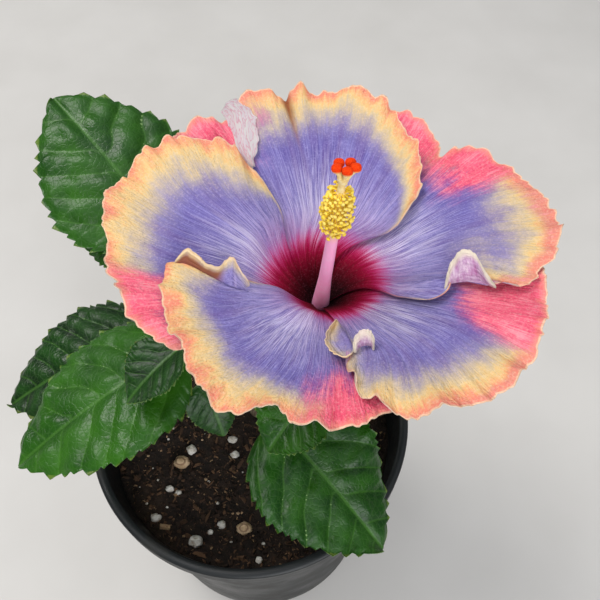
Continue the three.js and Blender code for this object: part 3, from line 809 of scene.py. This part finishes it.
TRUNK_PATH = [(4, 16, 172.3), (5, 15, 205), (9, 11, 246)]
TRUNK_RADII = [8.5, 6, 5.4, 5.1, 4.9, 4.6, 4.3]
STALK_FOOT = vec(30, -6, 306)
BOUGHS = {
    "bough_centre": ([(9, 11, 244), (17, 5, 280), STALK_FOOT], [4.2, 3.4, 2.8]),
    "bough_left": ([(5, 15, 212), (-9, 12, 246), (-20, 7.5, 268), (-23.5, 6, 279)], [3.2, 2.9, 2.5, 2.3]),
    "bough_right": ([(7, 13, 222), (26, 17, 248), (46, 19, 268)], [3.2, 2.7, 2.2]),
    "bough_back": ([(7, 13, 228), (3, 30, 252), (-6, 40, 286)], [3.2, 2.8, 2.2]),
}


def bark_relief(seed, length):
    """Ridges, seams and the rings of old leaf scars, as a share of the radius."""
    def relief(t, angle):
        turns = angle / tau
        ridge = clouds(turns * 14, t * length / 9, seed)
        seam = np.abs(clouds(turns * 7, t * length / 16 + 40, seed + 1))
        scar = np.exp(-((t * length / 13 % 1) - 0.5) ** 2 / 0.006)
        fade = smooth(turns * 8) * smooth((1 - turns) * 8)
        return fade * (0.06 * ridge - 0.06 * seam) + 0.05 * scar
    return relief


def make_woods():
    make_limbs("trunk_bark", BARK, "bark", ["trunk"],
               (TRUNK_PATH, TRUNK_RADII, 48, 90, True, bark_relief(21, 76)))
    boughs = [(*limb, 36, 70, False, bark_relief(31 + k, 62)) for k, limb in enumerate(BOUGHS.values())]
    make_limbs("bough_bark", BARK, "bark", list(BOUGHS), *boughs)


# Leaves

def leaf(root, base, tip, width, roll, fold, arch):
    """A leaf from its root on the stem, by the base of its blade, to its tip."""
    return dict(root=np.array(root), base=np.array(base), tip=np.array(tip),
                width=width, roll=roll, fold=fold, arch=arch)


# A mass has a stem, and leaves given one by one, fanned out by a rule, or small ones along its stem
MASSES = {
    "foliage_left": dict(
        stem=[(-23.6, 5.95, 279.35), (-26.6, 4.8, 289), (-28.5, 5.5, 300)], radii=[2.2, 1.7, 1.2],
        leaves=[
            leaf((-25.3, 5.3, 285), (-33, -3, 291), (-122, -58, 256), 80, 4, -0.1, 0.05),
            leaf((-24.2, 5.7, 281.5), (-56, 19, 273), (-142, -14, 240), 72, -4, -0.08, 0.06),
            leaf((-28.3, 5.4, 298.5), (-29, -13, 309), (-56, -39, 296), 36, 8, 0.15, 0.06),
        ],
    ),
    "foliage_upper_left": dict(
        stem=[(-6.2, 40.2, 286.3), (-12, 44, 300), (-17, 47, 312)], radii=[2.1, 1.7, 1.2],
        leaves=[leaf((-16, 46, 309), (-40, 50, 325), (-106, 118, 362), 88, -6, -0.12, 0.06)],
        fan=dict(count=2, start=92, stop=172, length=60, reach=14, rise=-8, seed=11),
    ),
    "foliage_front": dict(
        stem=[(9.6, 4.6, 238), (14, -12, 250), (22, -26, 262)], radii=[1.9, 1.6, 1.2],
        leaves=[
            leaf((13, -9, 248), (18, -32, 258), (80, -94, 222), 80, 0, -0.1, 0.06),
            leaf((22, -25, 261), (38, -30, 286), (16, -56, 272), 42, 0, 0.1, 0.07),
        ],
    ),
    "foliage_low": dict(
        stem=[(0.2, 9, 222), (-7, 3, 234), (-13, -3, 246)], radii=[1.8, 1.5, 1.2],
        leaves=[leaf((-12, -2, 243), (-23, -9, 262), (-12, -33, 237), 31, 0, -0.1, 0.06)],
    ),
    "foliage_right": dict(
        stem=[(46.3, 19.1, 268.3), (57, 18, 284), (62, 16, 302)], radii=[2.1, 1.7, 1.2],
        fan=dict(count=4, start=-28, stop=50, length=72, reach=16, rise=-8, seed=23), inner=4,
    ),
    "foliage_back": dict(
        stem=[(11.9, 17.4, 240), (20, 33, 262), (26, 42, 288)], radii=[1.9, 1.6, 1.2],
        fan=dict(count=4, start=48, stop=128, length=72, reach=16, rise=-6, seed=37), inner=4,
    ),
    "foliage_top": dict(
        stem=[(27.4, 0.9, 300.2), (32, 9, 314), (36, 16, 334)], radii=[1.6, 1.4, 1.1],
        fan=dict(count=4, start=8, stop=165, length=52, reach=12, rise=4, seed=51), inner=4,
    ),
}


def fan_leaves(mass):
    """Leaves fanned out from the stem of a mass, by the same draws as the solids' own."""
    rule = mass.get("fan", dict(count=0, seed=0))
    random = seeded(rule["seed"])
    made = []
    for k in range(rule["count"]):
        share = k / (rule["count"] - 1)
        root = spline(mass["stem"], 0.3 + 0.65 * share)
        outward = heading(radians(mix(rule["start"], rule["stop"], share) + 8 * (random() - 0.5)))
        length = rule["length"] * (0.88 + 0.24 * random())
        base = root + rule["reach"] * (outward + 0.4 * UP)
        tip = base + length * outward + UP * (rule["rise"] - 0.06 * length * random())
        made.append(leaf(root, base, tip, 0.74 * length, 14 * (random() - 0.5), -0.08, 0.06))
    return made


def inner_leaves(mass, seed):
    """Small leaves along the stem of a mass, between its large ones."""
    count = mass.get("inner", 0)
    rng = np.random.default_rng(seed)
    made = []
    for k in range(count):
        root = spline(mass["stem"], 0.1 + 0.8 * k / (count - 1))
        middle = radians((mass["fan"]["start"] + mass["fan"]["stop"]) / 2)
        outward = heading(middle + (k + 0.5 - count / 2) * 0.75 + rng.uniform(-0.2, 0.2))
        length = rng.uniform(30, 42)
        base = root + 8 * outward + rng.uniform(3, 6) * UP
        tip = base + length * outward - rng.uniform(2, 9) * UP
        made.append(leaf(root, base, tip, 0.66 * length, rng.uniform(-12, 12), -0.06, 0.08))
    return made


def leaf_width(t):
    """Width of a blade along its length, as a share of its greatest."""
    return 2.435 * t ** 0.5 * (1 - t) ** 0.85


def leaf_frame(blade):
    along = blade["tip"] - blade["base"]
    length = np.linalg.norm(along)
    along = along / length
    level = unit(np.cross(along, UP))
    turn = radians(blade["roll"])
    side = level * cos(turn) + np.cross(along, level) * sin(turn)
    return along, side, unit(np.cross(side, along)), length


def tooth_rows(seed):
    """Places along a blade, and the height of the teeth there on its two sides."""
    rng = np.random.default_rng(seed + 500)
    within = np.array([0.0, 0.22, 0.45, 0.68, 0.86, 0.95])
    height = np.array([0.0, 0.24, 0.5, 0.78, 1.0, 0.55])
    length = rng.uniform(0.55, 1.45, LEAF_TEETH)
    start = np.cumsum(length) - length
    rows = (start[:, None] + within * length[:, None]).ravel() / length.sum()
    tall = np.sqrt(length)[:, None, None] * rng.uniform(0.5, 1.25, (LEAF_TEETH, 1, 2)) * height[:, None]
    return np.append(rows, 1.0) * 0.985 + 0.008, np.vstack([tall.reshape(-1, 2), [[0, 0]]])


def leaf_grid(blade, seed):
    """The points of a blade, and the values that its material reads."""
    along, side, normal, length = leaf_frame(blade)
    t, tall = tooth_rows(seed)
    t = t[:, None]
    width = blade["width"]
    size = width / MIDDLING_LEAF
    across = np.linspace(1, -1, LEAF_COLUMNS if width > SMALL_LEAF else SMALL_LEAF_COLUMNS)
    v = (np.sign(across) * np.abs(across) ** 0.85)[None]
    hand = np.sign(v)
    half = 0.5 * width * leaf_width(t)
    depth = 2.9 * size * smooth(t / 0.12) * smooth((1 - t) / 0.06)
    height = np.where(v > 0, tall[:, :1], tall[:, 1:])
    teeth = depth * (height + 0.2 * wobble(t * 23, seed)) * smooth((np.abs(v) - 0.6) / 0.4)
    out = half * v + hand * (teeth - 0.5 * depth * np.abs(v))
    distance = np.abs(out)
    swept = 0.5 * distance + 0.011 * distance ** 2 / size
    rib = (t * length - swept + 3 * hand) / (VEIN_SPACING * size) + 0.16 * wobble(t * 7 + v, seed + 2)
    puff = np.abs(np.sin(pi * rib)) ** 0.6
    quilt = 1.7 * size * puff * smooth(distance / 8) * smooth((half - distance) / 5)
    pucker = 0.7 * size * clouds(t * length / 6 + 7 * seed, out / 6 + 40, seed) * smooth(distance / 5)
    groove = -0.8 * size * np.exp(-(distance / 1.8) ** 2)
    arch = blade["arch"] * length * 4 * t * (1 - t)
    fold = blade["fold"] * half * np.abs(v) ** 1.3
    wave = 0.06 * width * v * v * wobble(t * 3.4 + np.where(v > 0, 0, 11.5), seed + 9)
    frill = 1.5 * size * np.abs(v) ** 3 * wobble(t * 10 + 3 * hand, seed + 5)
    rise = arch + fold + wave + quilt + pucker + groove + frill
    grid = blade["base"]
    for amount, direction in ((t * length, along), (out, side), (rise, normal)):
        grid = grid + amount[..., None] * direction
    return grid, dict(rib=rib, side=distance, margin=np.maximum(half - distance, 0),
                      shade=np.random.default_rng(seed).uniform(0, 1))


def add_petiole(heap, blade, grid):
    """The stalk of a leaf, from its root to under the blade, into whose midrib it sinks."""
    middle = grid.shape[1] // 2
    heel, sink = grid[1, middle], grid[len(grid) // 9, middle] - 0.5 * UP
    bend = mix(blade["root"], heel, 0.6) + 0.08 * np.linalg.norm(blade["root"] - heel) * UP
    radii = np.array([1.2, 1, 0.95, 0.4]) * PETIOLE_RADIUS
    add_limb(heap, [blade["root"], bend, heel - 0.4 * UP, sink], radii, 12, 20)


def make_leaves():
    twigs = Heap()
    seed = 100
    for name, mass in MASSES.items():
        heap = Heap()
        add_limb(twigs, mass["stem"], mass["radii"], 16, 24)
        for blade in mass.get("leaves", []) + fan_leaves(mass) + inner_leaves(mass, 60 + seed):
            seed += 1
            grid, values = leaf_grid(blade, seed)
            add_sheet(heap, grid, LEAF_THICKNESS, **values)
            add_petiole(twigs, blade, grid)
        heap.make("leaves_" + name.split("_", 1)[1], LEAF_SKIN, "leaf", [name])
    twigs.make("twigs", GREEN_STEM, "green_stem")


# Petals

# A margin's points are an angle in degrees and a radius about the bloom. The other pairs of lists
# give a value from the start of the margin, at -1, to its end, at 1: coral is how red the petal is
# outside the radius coral_from, fringe the width of a reddish border, gold the width of the golden
# one, and eye how much smaller the crimson eye is there. Before pale_to the gold is paler.
# lift raises the start of the margin, and ridge the foot of the petal.
PETALS = [
    dict(
        name="petal_right", coral_from=68, eye=([-1, 0, 1], [-4, -2, 0]),
        coral=([-0.1, 0.14], [0, 1]), fringe=([-0.8, -0.5, -0.1, 0.2], [0.5, 5, 10, 18]),
        gold=([-1, -0.62, -0.5, -0.3, -0.1, 0.15, 1], [1.5, 1.5, 12, 26, 24, 10, 7]),
        margin=[(-26.5, 37), (-26.3, 46), (-22.8, 50.5), (-18.5, 52.6), (-12.2, 54), (-11.2, 59.5),
                (-12, 65), (-14.6, 69.5), (-12.7, 73.5), (-13.2, 78), (-11.5, 84.5), (-6.5, 88),
                (-2.5, 93), (3.5, 97.5), (11, 99), (19, 99.5), (27, 98.5), (35, 95), (40.5, 90.5),
                (43.5, 85), (45.5, 79), (49, 85), (54.5, 90), (64, 95.5), (74, 86), (80, 66)],
    ),
    dict(
        name="petal_back", lift=6, coral_from=66,
        coral=([0.15, 0.3, 0.46, 0.54], [0, 0.42, 0.5, 1]),
        gold=([-1, -0.5, 0, 0.25, 0.5, 1], [12, 20, 22, 22, 24, 12]),
        margin=[(30.8, 39), (35, 48), (39, 57), (46.5, 65), (54.5, 74.5), (63.5, 83), (72.5, 90),
                (81.5, 93), (90, 93.5), (96.7, 93.5), (101, 89.5), (105, 94.5), (112, 96.5),
                (120, 91.5), (127.5, 94), (135, 94), (147, 76)],
    ),
    dict(
        name="petal_left", coral_from=62,
        coral=([0.28, 0.5], [0, 1]),
        gold=([-1, -0.88, -0.6, -0.1, 0.3, 0.6, 1], [3, 7, 28, 30, 20, 9, 6]),
        margin=[(119.5, 38), (120.5, 48), (121.7, 60), (123.5, 70), (127.5, 80.5), (133.5, 86),
                (138.5, 93), (145.5, 96.5), (153.5, 97.5), (160.5, 97), (168, 93.5), (176.5, 90.5),
                (184.5, 88), (191.5, 83.5), (200, 81.5), (208, 76.5), (215, 70), (223, 58)],
    ),
    dict(
        name="petal_front_left", lift=3, coral_from=52, eye=([-1, 0, 1], [9, 6, 2]), ridge=6.5,
        coral=([0.15, 0.5], [0, 0.92]),
        gold=([-1, -0.75, -0.5, 0, 0.2, 1], [5, 18, 32, 24, 16, 8]),
        margin=[(190, 30), (189, 37), (187.5, 44), (185.5, 50), (184.5, 55), (184, 59), (188, 64.5),
                (196.5, 67), (208.5, 69), (219.5, 70), (227.5, 74.5), (235, 76.5), (241.5, 80),
                (247.5, 77.5), (252.5, 72.5), (257.5, 72.5), (262, 76.5), (270, 76.5), (277, 76),
                (283, 74), (289, 72.5), (296, 70), (306, 54)],
    ),
    dict(
        name="petal_front_right", coral_from=60, eye=([-1, 0, 1], [5, -1, -4]), pale_to=-0.45,
        coral=([0.05, 0.36], [0, 1.05]), fringe=([-0.9, -0.3, 0.1, 0.3], [0.3, 1.5, 5, 14]),
        gold=([-1, -0.5, 0, 0.35, 0.6, 1], [24, 22, 24, 12, 7, 5]),
        margin=[(284, 36), (284.2, 41), (283.2, 45.5), (279.6, 50), (279.5, 53.5), (281, 57.5),
                (280.2, 61.5), (281.8, 65.8), (285, 67.2), (286, 71), (289.5, 76.5), (293.5, 80.5),
                (298, 80.5), (301.5, 83), (305, 84.5), (309, 86), (313, 89), (319, 91.5), (326.5, 91),
                (333, 90.5), (340, 91), (348, 90.5), (354, 89.5), (360, 83), (364, 66)],
    ),
]

# Turned and rolled stretches of the margins. foot is where they leave the petal and border their free
# edge: places in plan about the bloom, and heights above the limb. belly is how far their middle
# bulges. The rest says which side and which part of the petal's colours they show, and how much
# painted shade darkens a turned face that lies in shade.
FOLDS = {
    "petal_right": [dict(
        foot=[(48.8, -17, 2.2), (50.8, -13.2, 1.4), (54, -12.6, 1.2), (58, -13, 1.2), (62.5, -14, 1.2),
              (65, -15.8, 1.4), (68, -18.2, 1.6)],
        border=[(48.6, -16.2, 2.6), (50.3, -9.4, 5.5), (52.2, -5.6, 8.5), (55.6, -4, 11.6),
                (59.4, -5.8, 11), (63.8, -13, 6.4), (67.8, -17.6, 2.4)],
        belly=(0, -1.6, 0.6), under=1, gold=3, brown=0, span=-0.7, eye=0,
    )],
    "petal_front_left": [dict(
        foot=[(-60, -6.5, 3), (-56.8, -4.6, 3.4), (-51, -6, 3.6), (-45, -9, 3.6), (-40, -11.2, 3.6),
              (-35.5, -12, 3.4), (-30, -12, 3)],
        border=[(-59.6, -4.4, 4), (-54.6, -0.2, 8), (-50, -3.4, 8.5), (-46, -6, 8), (-42, -6, 7.4),
                (-39.4, -3, 9), (-36.4, -1, 10.2), (-34.6, -3.2, 7.5), (-30, -7.6, 4)],
        belly=(0, -1.4, -1.2), under=0, gold=5, brown=1, span=-0.9, eye=6,
    )],
    "petal_front_right": [dict(
        foot=[(6, -23, 4), (7.2, -29.6, 5.6), (8.7, -35, 6.4), (10, -39.4, 6.4), (10.7, -42.4, 5.6),
              (10.6, -45, 4.4)],
        border=[(5.8, -23.4, 4.6), (2.6, -29.6, 4.6), (0.9, -35.4, 5), (0.9, -40.4, 5.5),
                (3.4, -45.4, 5.5), (7, -47.6, 5.5), (10.4, -45.6, 4.8)],
        belly=(0, 0, -3.4), under=0, gold=10, brown=0, span=-0.9, eye=18,
    ), dict(
        foot=[(12, -44.6, 3.6), (13, -42.4, 3.9), (14.2, -41.4, 3.9), (16.2, -41, 3.9),
              (17.8, -41.6, 3.9), (18.6, -43.4, 3)],
        border=[(11, -44.6, 4.4), (11.1, -41, 7.2), (12.4, -38, 9.2), (15, -36.8, 10.2),
                (17.4, -37.4, 9.8), (18.8, -39.4, 7.4), (19, -43, 3.2)],
        belly=(0, -1.4, 0.6), under=1, gold=20, brown=0, span=-0.8, eye=0,
    )],
}
SCALLOP = 0.35              # height of the scallops on the border of a fold

# Left and right border of the folded strip on the back petal: angle and radius about the bloom
STRIP_LEFT = [(118.8, 98), (119, 90), (121.2, 81), (123.6, 71), (121, 60)]
STRIP_RIGHT = [(114.4, 97), (112, 90), (111.4, 81), (114, 71), (120, 59)]
STRIP_THICKNESS = 0.4
STRIP_RADIUS = 120          # beyond the petals, so that the strip takes the whitest colour

# Outer and inner end of the crease in the back petal, in plan about the bloom
CREASE = ((-17.3, 94.3), (-7.2, 55.8))


def limb_height(r):
    """Height of the limb above the bottom of the throat: a funnel that opens out level."""
    return CUP_HEIGHT * (1 - np.exp(-r / CUP_RADIUS)) + LIMB_RISE * r


def pinwheel(r):
    """How far the start of a petal's margin is above the limb, and its end below."""
    return 1.3 + 2.2 * smooth((r - 10) / 40)


def ruffle(r, angle):
    return 1.8 * smooth((r - 45) / 50) * (0.6 * np.sin(11 * angle + 0.4) + 0.4 * np.sin(17 * angle + 2.1))


def rim_distance(x, y):
    """Distance of each point of a grid to the grid's free border, in plan."""
    sides = [(x[:, 0], y[:, 0]), (x[-1], y[-1]), (x[:, -1], y[:, -1])]
    border = np.concatenate([np.stack(side, -1) for side in sides])
    flat = np.stack([x.ravel(), y.ravel()], -1)
    nearest = np.full(len(flat), np.inf)
    for part in np.array_split(border, 16):
        gap = np.linalg.norm(flat[:, None] - part[None], axis=-1)
        nearest = np.minimum(nearest, gap.min(1))
    return nearest.reshape(x.shape)


def on_bloom(points, t):
    """A curve through places given in plan about the bloom, with heights above its limb."""
    x, y, height = spline(points, t).T
    return np.stack([x, y, limb_height(np.hypot(x, y)) + height], -1) + BLOOM


def calm_beside(x, y, folds):
    """From 0 where a margin leaves its petal to turn, to 1 some way from there, in plan."""
    nearest = np.full(x.shape, np.inf)
    for fold in folds:
        for px, py, _ in spline(fold["foot"], np.linspace(0, 1, 24)):
            nearest = np.minimum(nearest, np.hypot(x - px, y - py))
    return smooth((nearest - 1.5) / 8)


def add_fold(heap, fold, index):
    """A turned stretch of margin, from the line where it leaves the petal to its free border."""
    t, c = np.linspace(0, 1, 70)[:, None], np.linspace(0, 1, 24)[None]
    foot, border = on_bloom(fold["foot"], t[:, 0]), on_bloom(fold["border"], t[:, 0])
    length = np.linalg.norm(border - foot, axis=-1)[:, None]
    swell = 4 * c * (1 - c) * smooth(length / 5)
    frill = SCALLOP * c ** 2 * smooth(length / 3) * (wobble(t * 26, 90) + 0.6 * wobble(t * 55, 91))
    grid = mix(foot[:, None], border[:, None], c[..., None]) + swell[..., None] * np.array(fold["belly"])
    grid = grid + frill[..., None] * unit(border - foot)[:, None]
    rim = length * (1 - c)
    # The turned face takes painted shade, fading out near its free border and past seven tenths of its
    # length.
    add_sheet(heap, grid, FOLD_THICKNESS, span=fold["span"] + 0.07 * t, reach=0.5 + 0.3 * c, rim=rim,
              radius=np.hypot(grid[..., 0] - BLOOM[0], grid[..., 1] - BLOOM[1]) + fold["eye"],
              gold=0.3 + rim / fold["gold"], petal=PATTERN_STEP * index, under=fold["under"],
              brown=fold["brown"] * smooth((0.95 - c) / 0.3) * smooth((0.7 - t) / 0.2))


def add_strip(heap, grid, index):
    """The folded strip of the back petal, which lies on it and shows its pale underside."""
    t, c = np.linspace(0, 1, 60), np.linspace(0, 1, 22)[None]
    (xa, ya), (xb, yb) = (in_plan(outline_at(border, t)) for border in (STRIP_LEFT, STRIP_RIGHT))
    frill = (wobble(t * 13, 77) + 0.4 * wobble(t * 31, 79))[:, None] * c ** 3
    x = mix(xa[:, None], xb[:, None], c) + frill
    y = mix(ya[:, None], yb[:, None], c)
    flat = grid.reshape(-1, 3) - BLOOM
    gap = np.hypot(flat[:, 0] - x.reshape(-1, 1), flat[:, 1] - y.reshape(-1, 1))
    ground = flat[gap.argmin(1), 2].reshape(x.shape)
    ground = mix(ground.mean(1, keepdims=True), ground, 0.3)
    z = ground - 1.2 + 4.4 * smooth(c * 1.9) - 1.1 * c ** 2 + 0.5 * wobble(t * 9, 78)[:, None] * c
    points = np.stack([x, y, z], -1) + BLOOM
    width = np.hypot(xb - xa, yb - ya)[:, None]
    back = c[:, ::-1]
    add_sheet(heap, points[:, ::-1], STRIP_THICKNESS, span=0.5 * back, reach=5 * t[:, None],
              radius=STRIP_RADIUS, rim=0.5 * width * (1 - back), gold=9, under=1,
              petal=PATTERN_STEP * index)


def even_fan(end_angle):
    """Steadily growing angles near those of the margin, for the inner part of a petal."""
    count = end_angle.shape[1]
    straight = mix(end_angle[0, 0], end_angle[0, -1], np.linspace(0, 1, count))
    rising = np.maximum.accumulate(mix(straight, end_angle[0], 0.4))
    reach = 15
    weight = np.hanning(2 * reach + 1)
    return np.convolve(np.pad(rising, reach, "edge"), weight / weight.sum(), "valid")[None]


def petal_plan(petal, index, seed, s, u):
    """Radius and angle of a petal's points about the bloom, and where they are along the margin."""
    end_angle, end_radius, arc = margin_at(petal["margin"], (s + 1) / 2)
    scallop = 1.4 * wobble(arc / 4.2, seed) + 0.7 * wobble(arc / 1.9, seed + 1)
    end_radius = end_radius + scallop * smooth((end_radius - 50) / 14)
    r = mix(BASE_RADIUS, end_radius, u)
    start = FIRST_PETAL + PETAL_STEP * index + BASE_HALF_ANGLE * s
    outer = mix(even_fan(end_angle), end_angle, smooth((u - 0.58) / 0.42))
    swing = smooth((r - TWIST_START) / (TWIST_END - TWIST_START))
    return r, np.radians(mix(start, outer, swing)), arc


def crease(x, y, r):
    """Depth of the crease in the back petal, and how much painted shade darkens it."""
    (x1, y1), (x0, y0) = CREASE
    beside = ((x - x0) * (y1 - y0) - (y - y0) * (x1 - x0)) / hypot(x1 - x0, y1 - y0)
    fade = smooth((r - 50) / 40)
    width = mix(0.8, 2.2, smooth((r - 60) / 30))
    return 3.2 * fade * np.exp(-(beside / 1.6) ** 2), fade * np.exp(-(beside / width) ** 2)


def petal_colours(petal, s, r, rim):
    """How coral a petal is, how far in from its gold, and its radii as the crimson eye takes them."""
    coral = smooth(np.interp(s, *petal["coral"])) * smooth((r - petal["coral_from"] + 24) / 42)
    if "fringe" in petal:
        coral = np.maximum(coral, 0.52 * smooth(1.5 - rim / np.interp(s, *petal["fringe"])))
    gold = rim / (np.interp(s, *petal["gold"]) * mix(0.12, 1, smooth((r - 32) / 44)))
    if "pale_to" in petal:
        gold = gold + 0.34 * smooth((petal["pale_to"] - s) / 0.2)
    return dict(coral=coral, gold=gold, radius=r + np.interp(s, *petal.get("eye", ([0], [0]))))


def make_petal(petal, index):
    s = np.linspace(-1, 1, PETAL_COLUMNS)[None]
    u = (1 - (1 - np.linspace(0, 1, PETAL_ROWS)) ** 1.2)[:, None]
    seed = 40 + 10 * index
    r, angle, arc = petal_plan(petal, index, seed, s, u)
    x, y = polar(r, angle)
    rim = rim_distance(x, y)
    folds = FOLDS.get(petal["name"], [])
    calm = calm_beside(x, y, folds)
    lift = petal.get("lift", 0) * smooth(1 - (s - 0.1) / 0.8) * (r / 95) ** 2
    crimp = smooth((r - 44) / 14) * calm * (3 * np.exp(-rim / 9) * wobble(arc / 8, seed + 2)
                                            + 2.1 * np.exp(-rim / 4.5) * wobble(arc / 3.6, seed + 3))
    ribs = smooth((r - 16) / 30) * (0.3 * wobble(s * 16 + 0.4 * wobble(u * 4, seed), seed + 4)
                                    + 0.16 * wobble(s * 44 + 0.5 * wobble(u * 7, seed), seed + 5))
    z = limb_height(r) - pinwheel(r) * s + lift + ruffle(r, angle) * calm + crimp + ribs
    # Painted shade darkens only the back petal, along its crease.
    brown = 0.0
    if petal["name"] == "petal_back":
        depth, brown = crease(x, y, r)
        z = z - depth
    z = z + petal.get("ridge", 0) * np.exp(-((r - 20) / 8) ** 2) * smooth((0.9 - s) / 0.9)
    grid = np.stack([x, y, z], -1) + BLOOM
    heap = Heap()
    add_sheet(heap, grid, mix(RIM_THICKNESS, PETAL_THICKNESS, smooth(rim / 6)), span=s, reach=u,
              rim=rim + 4 * (1 - calm), brown=brown, petal=PATTERN_STEP * index,
              **petal_colours(petal, s, r, rim))
    if petal["name"] == "petal_back":
        add_strip(heap, grid, index)
    for fold in folds:
        add_fold(heap, fold, index)
    heap.make(petal["name"] + "_skin", PETAL_SKIN, "petal", [petal["name"]])


# Column, style and calyx

def axis_point(height):
    return BLOOM + COLUMN_LEAN * (height / STYLE_LENGTH)


def make_column():
    heap = Heap()
    path = [axis_point(height) for height in (1.5, 25, 50, COLUMN_LENGTH)]
    add_limb(heap, path, [COLUMN_FOOT_RADIUS, 2.8, 2.4, 1.9], 32, 60)
    heap.make("column_tube", column_look(), "column", ["staminal_column"])
    ball = ball_rings(6, 8)
    rng = np.random.default_rng(5)
    threads, anthers = Heap(), Heap()
    for k in range(ANTHER_COUNT):
        share = (k + 0.5) / ANTHER_COUNT
        height = mix(ANTHER_START, COLUMN_LENGTH + 0.5, share)
        bulge = sin(pi * mix(0.2, 0.86, share)) ** 0.6
        spread = ANTHER_SPREAD * bulge * rng.uniform(0.82, 1.06)
        turn = k * GOLDEN_ANGLE
        out = heading(turn)
        root = axis_point(height) + 1.6 * out
        tip = axis_point(height) + spread * out + rng.uniform(-0.8, 1.2) * UP
        add_limb(threads, [root, mix(root, tip, 0.5) + 0.3 * UP, tip], [0.28, 0.22, 0.2], 6, 4)
        squash = vec(1.2, 0.85, 0.95) * rng.uniform(0.58, 0.86)
        shape = tip + 0.3 * out + (ball * squash) @ spun(turn + 1.3).T
        add_ball(anthers, shape, tone=rng.uniform(0, 1))
    pollen = pollen_look()
    threads.make("filaments", pollen, "column")
    anthers.make("anthers", pollen, "column")


def make_style():
    """The style over the anthers, its five arms and their pads, whose wheel leans to the front."""
    heap, pads = Heap(), Heap()
    foot, head = axis_point(COLUMN_LENGTH - 1), axis_point(STYLE_LENGTH - 5)
    add_limb(heap, [foot, mix(foot, head, 0.5), head], [1.5, 1.4, 2.3], 24, 16)
    ball = ball_rings(16, 28)
    plump = np.abs(ball) ** 0.85 * np.sign(ball) * vec(PAD_RADIUS, PAD_RADIUS, 1.6)
    c, s = cos(radians(PAD_LEAN)), sin(radians(PAD_LEAN))
    tilt = np.array([[1, 0, 0], [0, c, -s], [0, s, c]])
    root = axis_point(STYLE_LENGTH - 8)
    for k in range(PAD_COUNT):
        out = heading(radians(PAD_TURN) + k / PAD_COUNT * tau) @ tilt
        pad = axis_point(STYLE_LENGTH - 0.6) + vec(0.4, 1, 0) + PAD_CIRCLE * out
        add_limb(heap, [root, mix(root, pad, 0.6), pad - 0.5 * UP], [1.2, 0.9, 1.1], 14, 12)
        add_ball(pads, pad + plump @ tilt, rim=np.where(ball[..., 2] > -0.2, 0.0, 1.0))
    heap.make("style_stem", style_look(), "stigma", ["style"])
    pads.make("stigma_pads", stigma_look(), "stigma")


def cup_top(r):
    return BLOOM[2] + limb_height(r) - pinwheel(r) - 1.4


def make_calyx():
    """A cup close under the funnel of the petals, with five lobes, and the bracts round its foot."""
    turn = circle(100)
    rim = CALYX_RADIUS + CALYX_LOBE * np.abs(np.cos(2.5 * (turn - radians(FIRST_PETAL)))) ** 1.5
    foot = BLOOM[2] - CALYX_DEPTH
    outer, inner = [], []
    for share in np.arange(13) / 12:
        r = mix(5.0, rim, share)
        wide = np.maximum(r, 8.5)
        outer.append((wide, cup_top(wide) - mix(1.6, 0.7, share)))
        inner.append((r, cup_top(r) - 0.3))
    stem = [(2.4, foot), (4.4, foot + 2.5), (5.2, foot + 6), (7.2, foot + 12)]
    rings = []
    for r, z in stem + outer + inner[::-1]:
        x, y = polar(r, turn)
        rings.append(np.stack([BLOOM[0] + x, BLOOM[1] + y, np.broadcast_to(z, turn.shape)], -1))
    heap = Heap()
    add_ball(heap, np.array(rings))
    for k in range(BRACT_COUNT):
        out = heading(k / BRACT_COUNT * tau)
        root = BLOOM * vec(1, 1, 0) + (foot + 3) * UP + 2.5 * out
        tip = root + 0.75 * BRACT_LENGTH * out + 0.6 * BRACT_LENGTH * UP
        add_limb(heap, [root, mix(root, tip, 0.5) - 1.5 * UP, tip], [1.1, 1.0, 0.25], 10, 12)
    heap.make("calyx_cup", GREEN_STEM, "green_stem", ["calyx"])


def make_stalk():
    path = [STALK_FOOT + vec(-0.5, 0.4, -1.5), BLOOM + vec(-0.4, 0.3, -CALYX_DEPTH - 6),
            BLOOM - (CALYX_DEPTH - 0.5) * UP]
    make_limbs("stalk", GREEN_STEM, "green_stem", ["flower_stalk"], (path, [2.5, 2.1, 2.5], 20, 30))


# Floor, light and camera

def make_stage():
    mesh = bpy.data.meshes.new("floor")
    corners = [(x * FLOOR_REACH, y * FLOOR_REACH, 0) for x, y in ((-1, -1), (1, -1), (1, 1), (-1, 1))]
    mesh.from_pydata(corners, [], [(0, 1, 2, 3)])
    mesh.materials.append(floor_look())
    floor = placed("floor", mesh)


def add_light(name, place, size, power, colour):
    data = bpy.data.lights.new(name, "AREA")
    data.shape = "DISK"
    data.size = size
    data.energy = power
    data.color = colour
    lamp = placed(name, data)
    lamp.location = place
    direction = np.array(place) - np.array(LIGHT_TARGET)
    lamp.rotation_euler = Vector(direction).to_track_quat("Z", "Y").to_euler()


def make_sky():
    """A pale sky that brightens from the horizon upwards."""
    look = Look("soft sky", "worlds", "Generated")
    height = look.field("SeparateXYZ", look.place, output="Z")
    sockets = look.tree.nodes["Background"].inputs
    look.feed(sockets["Color"], (0.92, 0.95, 1.0))
    look.feed(sockets["Strength"], height.step(0.5, 1.0, SKY_LOW, SKY_HIGH))
    bpy.context.scene.world = look.block
    bpy.context.scene.view_settings.view_transform = "Standard"


def make_camera():
    data = bpy.data.cameras.new("camera")
    data.sensor_width = SENSOR_WIDTH
    data.lens = SENSOR_WIDTH * FOCAL_PIXELS / PHOTO_WIDTH
    camera = placed("camera", data)
    camera.location = CAMERA_PLACE
    camera.rotation_euler = (radians(CAMERA_TILT), 0, 0)
    bpy.context.scene.camera = camera


make_camera()
make_sky()
for label, lamp in LIGHTS.items():
    add_light(label, **lamp)
make_stage()
make_pot()
make_soil()
make_chips()
make_perlite()
make_woods()
make_leaves()
make_stalk()
make_calyx()
for number, shape in enumerate(PETALS):
    make_petal(shape, number)
make_column()
make_style()
